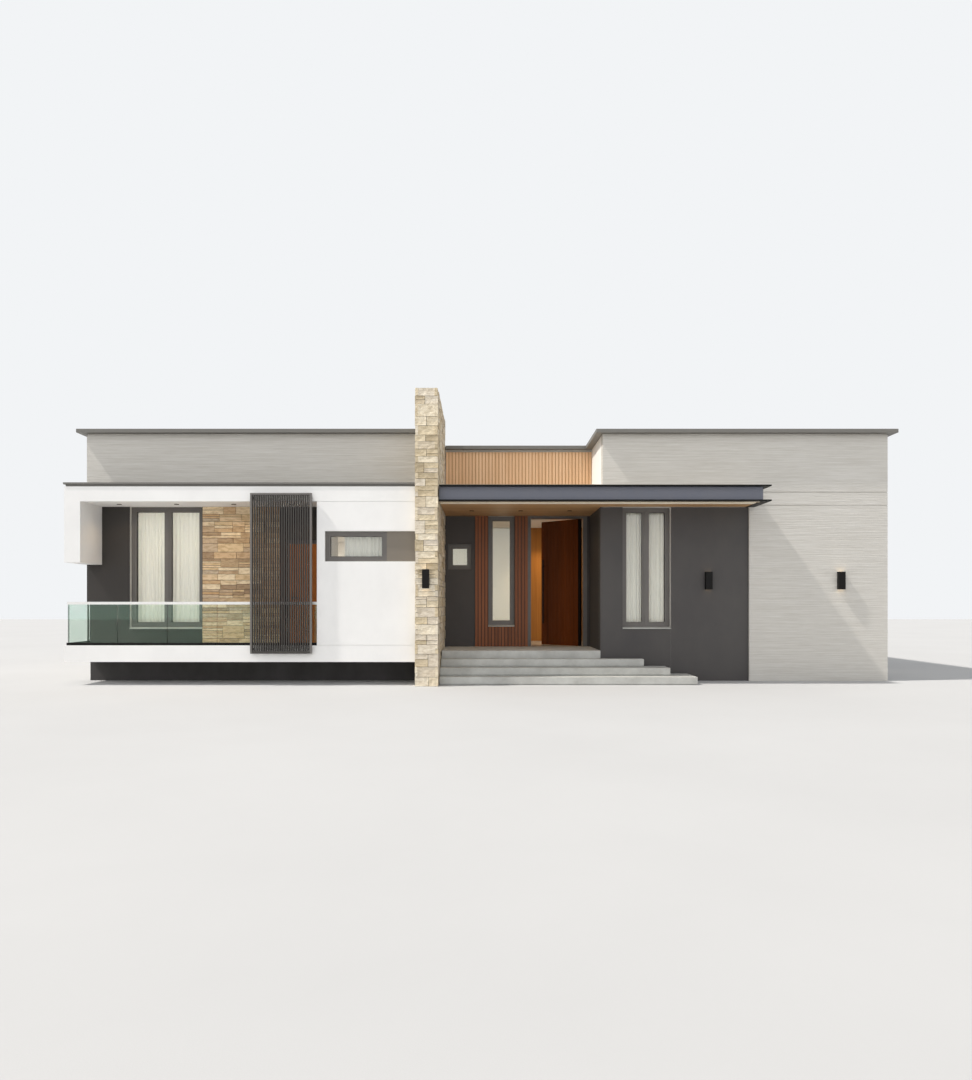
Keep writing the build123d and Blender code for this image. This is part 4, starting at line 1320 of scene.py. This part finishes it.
@dataclass
class Shell:
    """The house's walls, floors, roofs, metal, timber and glass, as packed."""

    # The charcoal made darker, as painted shade, for the base under the balcony's slab.
    plinth: str = "#2e2c29"
    lining: str = "#d8d5cf"
    hall: str = "#edf6f4"
    # The return parapet's white, lighter than the pale render of the walls beside it, is painted
    # sunlight.
    sunlit_return_paint: str = "#f3f1ec"
    gaps: str = "#cda77c"
    # Painted shade in the soffit's groove behind its front strip.
    groove_painted_shade: str = "#3a2a1e"
    porch_gaps: str = "#573c2b"
    # Painted light on the soffit: a pale strip on the board behind its groove, and its lit front
    # strip.
    light_board: str = "#fff6e4"
    rim_painted_light: str = "#f0dfc2"
    soffit_boards: Triple = (0.09, 0.235, 0.425)
    slat_coat: str = "#35312d"
    screen_rim: float = 0.03
    edge: str = "#0e0805"
    edge_width: float = 0.085
    membrane: str = "#b9b6b0"
    screed: str = "#a19f9a"
    screed_worn: str = "#97958f"
    screed_clouds: Mottle = Mottle((1500.0, 1500.0, 1500.0), detail=8.0)
    tolerance: float = 0.002
    hair: float = 0.0002

    def walls(self) -> dict[str, Finish]:
        """Picks the finish of each wall that has rooms behind it, with their paint on its back.

        Returns:
            A finish for each of these nodes.
        """
        chosen: dict[str, Finish] = {}
        frames = solids_of("front_window_frames")
        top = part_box("roof_slab")[1].z
        for node, finish, axis, beyond, jamb in (
            # The balcony's back wall takes the charcoal in painted shade.
            ("left_front_wall", CHARCOAL_IN_PAINTED_SHADE, Axis.Y, True, frames[0][0].x),
            ("dark_front_wall", CHARCOAL, Axis.Y, True, frames[-1][1].x),
            ("porch_back_wall", CHARCOAL, Axis.Y, True, None),
            ("right_front_wall", PALE, Axis.Y, True, None),
            ("rear_wall", PALE, Axis.Y, False, None),
            ("west_wall", PALE, Axis.X, True, None),
            ("east_wall", PALE, Axis.X, False, None),
        ):
            low, high = (corner[axis.value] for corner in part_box(node))
            span = {"low": high - self.tolerance} if beyond else {"high": low + self.tolerance}
            zones = (Zone(axis, top=top, **span),)
            if jamb is not None:
                zones = (Zone(Axis.X, jamb - self.hair, jamb + self.hair, self.lining), *zones)
            chosen[node] = replace(finish, name=f"{node}_{finish.name}", zones=zones)
        return chosen

    def odd_ones(self) -> dict[str, Finish]:
        """Picks the nodes whose finish differs from their slot's usual one.

        Returns:
            A finish for each of these nodes.
        """
        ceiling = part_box("roof_slab")[0].z + self.tolerance
        canopy_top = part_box("canopy_plates")[1].z - self.tolerance
        leaf_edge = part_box("front_door_leaf")[1].x - self.edge_width
        low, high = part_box("louvre_screen")
        rim = self.screen_rim
        slats = Zone(Axis.X, low.x + rim, high.x - rim, self.slat_coat, top=high.z - rim)
        ends = [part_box("canopy_soffit")[0].y + distance for distance in self.soffit_boards]
        # The soffit's front strip and the board behind its groove are painted lighter, as painted
        # light; the groove between them is painted darker, as painted shade.
        boards = (
            Zone(Axis.Y, high=ends[0], colour=self.rim_painted_light),
            Zone(Axis.Y, ends[0], ends[1], self.groove_painted_shade),
            Zone(Axis.Y, ends[1], ends[2], self.light_board),
        )
        # The balcony door's header and the porch's side walls take the charcoal in painted shade.
        charcoal_in_painted_shade = replace(CHARCOAL_IN_PAINTED_SHADE, name="painted_shade_charcoal_render")
        # The last strip of the leaf towards its hinge is painted near black.
        leaf_side = Zone(Axis.X, low=leaf_edge, colour=self.edge)
        plate_top = Zone(Axis.Z, low=canopy_top, colour=self.membrane)
        screed = {"colour": self.screed, "second": self.screed_worn, "clouds": self.screed_clouds}
        chosen: dict[str, Finish] = {
            "front_door_leaf": replace(DOOR_WALNUT, zones=(leaf_side,)),
            "louvre_screen": replace(SCREEN_COAT, zones=(slats,)),
            "canopy_plates": replace(BLACK, name="canopy_plate_coat", zones=(plate_top,)),
            "hall_wall": replace(WHITE, name="hall_paint", colour=self.hall, second=self.hall),
            # The return parapet is painted lighter, as painted sunlight.
            "return_parapet": replace(WHITE, name="return_painted_sunlight_render", colour=self.sunlit_return_paint),
            # The base under the balcony's slab takes the charcoal in painted shade.
            "balcony_plinth": replace(CHARCOAL, name="plinth_painted_shade_render", colour=self.plinth),
            "roof_slab": replace(
                CONCRETE, name="roof_screed", zones=(Zone(Axis.Z, high=ceiling),), **screed
            ),
            "canopy_soffit": replace(SOFFIT_LARCH, name="canopy_soffit_larch_painted_light", zones=boards),
            "balcony_door_header": charcoal_in_painted_shade,
            "porch_side_wall": charcoal_in_painted_shade,
            "porch_corner_wall": charcoal_in_painted_shade,
        }
        for node, timber, gaps in (
            ("parapet_slats", LARCH, self.gaps), ("porch_slats", WALNUT, self.porch_gaps)
        ):
            low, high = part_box(node)
            behind = Zone(Axis.Y, low=(low.y + high.y) / 2, colour=gaps)
            chosen[node] = replace(timber, name=timber.name + "_slats", zones=(behind,))
        return ODD_FINISHES | chosen | self.walls()

    def build(self) -> int:
        """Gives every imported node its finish.

        Returns:
            How many nodes there are.
        """
        usual = {slot: finish.make() for slot, finish in SLOT_FINISHES.items()}
        odd = {node: finish.make() for node, finish in self.odd_ones().items()}
        for part in frame["record"]["subparts"]:
            slots = frame["nodes"][part["node"]].data.materials
            slots.clear()
            slots.append(odd.get(part["node"], usual[part["material_slot"]]))
        return len(frame["nodes"])


@dataclass
class Sun:
    """A lamp as far off as the sun.

    Its strength is what it sheds on a face that looks at it, in watts per square metre, its
    softness is how wide it looks, in degrees, and its run is the way its light goes.
    """

    name: str
    strength: float
    softness: float
    colour: str
    run: Triple


@dataclass
class Studio:
    """A plain pale floor and soft light outside, and lamps that aren't seen in the rooms."""

    floor_half: float = 70.0
    floor: TroweledRender = TroweledRender(
        "pale_floor", "#bdbdbd", "#b9b9b9", 0.9, clouds=Mottle((4000.0, 4000.0, 6400.0))
    )
    sky: str = "#f4f7fb"
    sky_strength: float = 0.62
    backdrop: str = "#f2f4f6"
    suns: tuple[Sun, ...] = (
        Sun("key_light", 3.7, 2.0, "#fffaf3", (1.0, 0.19, -1.42)),
        Sun("fill_light", 1.0, 90.0, "#ffffff", (0.1, 1.0, -0.25)),
    )
    room_power: float = 10.5
    room_colour: str = "#fff7ee"
    room_shares: Span = (0.9, 0.6)
    room_shift: float = 0.6
    below_ceiling: float = 0.02
    hall_power: float = 38.0
    hall_colour: str = "#ffdcae"
    hall_distance: float = 2.2
    hall_depth: float = 0.4
    spot_power: float = 70.0
    spot_place: Triple = (0.4, -0.55, -0.03)
    spot_radius: float = 0.04
    spot_cone: Cone = Cone(96.0)
    window_power: float = 40.0
    window_depth: float = 0.6
    window_distance: float = 0.45

    def build(self) -> None:
        """Lays the floor, hangs the backdrop and lights the scene."""
        half = self.floor_half
        corners = [(-half, -half, 0), (half, -half, 0), (half, half, 0), (-half, half, 0)]
        floor = mesh_object("studio_floor", [Vector(c) for c in corners], [(0, 1, 2, 3)])
        floor.data.materials.append(self.floor.make())
        self.hang_sky()
        for sun in self.suns:
            wide = math.radians(sun.softness)
            lamp = hang_lamp(sun.name, "SUN", sun.strength, sun.colour, (0, 0, 0), angle=wide)
            lamp.rotation_euler = Vector(sun.run).to_track_quat("-Z", "Y").to_euler()
        self.light_rooms()

    def light_rooms(self) -> None:
        """Hangs lamps in the rooms, in the hall and behind the balcony's curtain."""
        low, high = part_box("roof_slab")
        hall_low, hall_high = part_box("hall_wall")
        drop = Vector((0, self.room_shift, -self.below_ceiling))
        for side, left, right in (("left", low.x, hall_low.x), ("right", hall_high.x, high.x)):
            width = (right - left) * self.room_shares[0]
            depth = (high.y - low.y) * self.room_shares[1]
            place = Vector(((left + right) / 2, (low.y + high.y) / 2, low.z)) + drop
            power = self.room_power * width * depth
            self.hang_panel(f"{side}_room_light", power, self.room_colour, place, (width, depth))
        low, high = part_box("hall_panelling")
        level = high.z - self.below_ceiling
        place = ((low.x + 3 * high.x) / 4, low.y - self.hall_distance, level)
        size = ((high.x - low.x) / 2, self.hall_depth)
        self.hang_panel("hall_light", self.hall_power, self.hall_colour, place, size)
        place = Vector((low.x, low.y, high.z)) + Vector(self.spot_place)
        cone = self.spot_cone.settings(self.spot_radius)
        hang_lamp("hall_spot", "SPOT", self.spot_power, self.hall_colour, place, **cone)
        low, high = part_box("balcony_curtain")
        level = high.z + self.below_ceiling
        place = ((low.x + high.x) / 2, high.y + self.window_distance, level)
        size = (high.x - low.x, self.window_depth)
        self.hang_panel("window_light", self.window_power, self.room_colour, place, size)

    def hang_panel(self, name: str, power: float, colour: str, place: Triple, size: Span) -> None:
        """Hangs a lamp panel, which shines down and isn't seen, under a ceiling.

        Args:
            name: The lamp's name.
            power: Its power, in watts.
            colour: Its colour.
            place: Where it hangs.
            size: Its length along X and Y.
        """
        shape = {"shape": "RECTANGLE", "size": size[0], "size_y": size[1]}
        light = hang_lamp(name, "AREA", power, colour, place, **shape)
        light.visible_camera = light.visible_glossy = light.visible_transmission = False

    def hang_sky(self) -> None:
        """Makes the sky that lights the house, and the plain backdrop that the camera sees."""
        world = bpy.data.worlds.new("studio_sky")
        bpy.context.scene.world = world
        world.use_nodes = True
        world.node_tree.nodes.clear()
        nodes = Nodes(world.node_tree)
        sky = {0: linear(self.sky), 1: self.sky_strength}
        light = nodes.add("ShaderNodeBackground", sky)
        seen = nodes.add("ShaderNodeBackground", {0: linear(self.backdrop), 1: 1.0})
        path = nodes.add("ShaderNodeLightPath").node.outputs
        shown = path["Is Camera Ray"]
        for name in ("Is Glossy Ray", "Is Transmission Ray"):
            shown = nodes.math("MAXIMUM", shown, path[name])
        both = nodes.add("ShaderNodeMixShader", {0: shown, 1: light, 2: seen})
        nodes.add("ShaderNodeOutputWorld", {0: both})


@dataclass
class StreetCamera:
    """The camera, where the photographer stood."""

    place: Triple = (-0.035, -16.65, 1.52)
    focal_px: float = 838.0
    horizon_px: float = 604.5
    middle_px: float = 485.5
    sensor: float = 36.0
    reach: float = 500.0

    def build(self) -> None:
        """Sets the camera up."""
        data = bpy.data.cameras.new("street_camera")
        data.sensor_width = self.sensor
        data.lens = self.focal_px / PHOTO_HEIGHT * self.sensor
        data.shift_y = (self.horizon_px - PHOTO_HEIGHT / 2) / PHOTO_HEIGHT
        data.shift_x = (PHOTO_WIDTH / 2 - self.middle_px) / PHOTO_HEIGHT
        data.clip_end = self.reach
        camera = link("street_camera", data)
        camera.location = self.place
        camera.rotation_euler = (math.pi / 2, 0.0, 0.0)
        bpy.context.scene.camera = camera


def main() -> None:
    """Builds the bungalow's looks in order and reports each piece."""
    logging.basicConfig(level=logging.INFO, format="%(message)s")
    bpy.context.scene.view_settings.view_transform = "Standard"
    StreetCamera().build()
    Studio().build()
    log.info("finishes on %d nodes", Shell().build())
    black, cloth = BLACK.make(), LINEN.make()
    blocks = LedgeCladding(BUFF_STONE, course=(0.11, 0.25), length=(0.15, 0.36), bed=(0.07, 0.2))
    ledges = LedgeCladding(
        WARM_STONE, course=(0.1, 0.26), length=(0.2, 0.55), bed=(0.045, 0.14), split=0.011, seed=23
    )
    assemblies = (
        StonePier(blocks),
        BalconyStone(ledges),
        Curtain("balcony_curtain", cloth, seed=3),
        Curtain("bay_curtain", cloth, seed=5),
        Curtain("wing_curtain", cloth, seed=8),
        CeilingLights(black, DIM_LENS.make()),
        WallLamps(black, LENS.make()),
        GlazingBeads(black),
    )
    for assembly in assemblies:
        for piece in assembly.build():
            log.info("%s: %d faces", piece.name, len(piece.data.polygons))


if __name__ == "__main__":
    main()
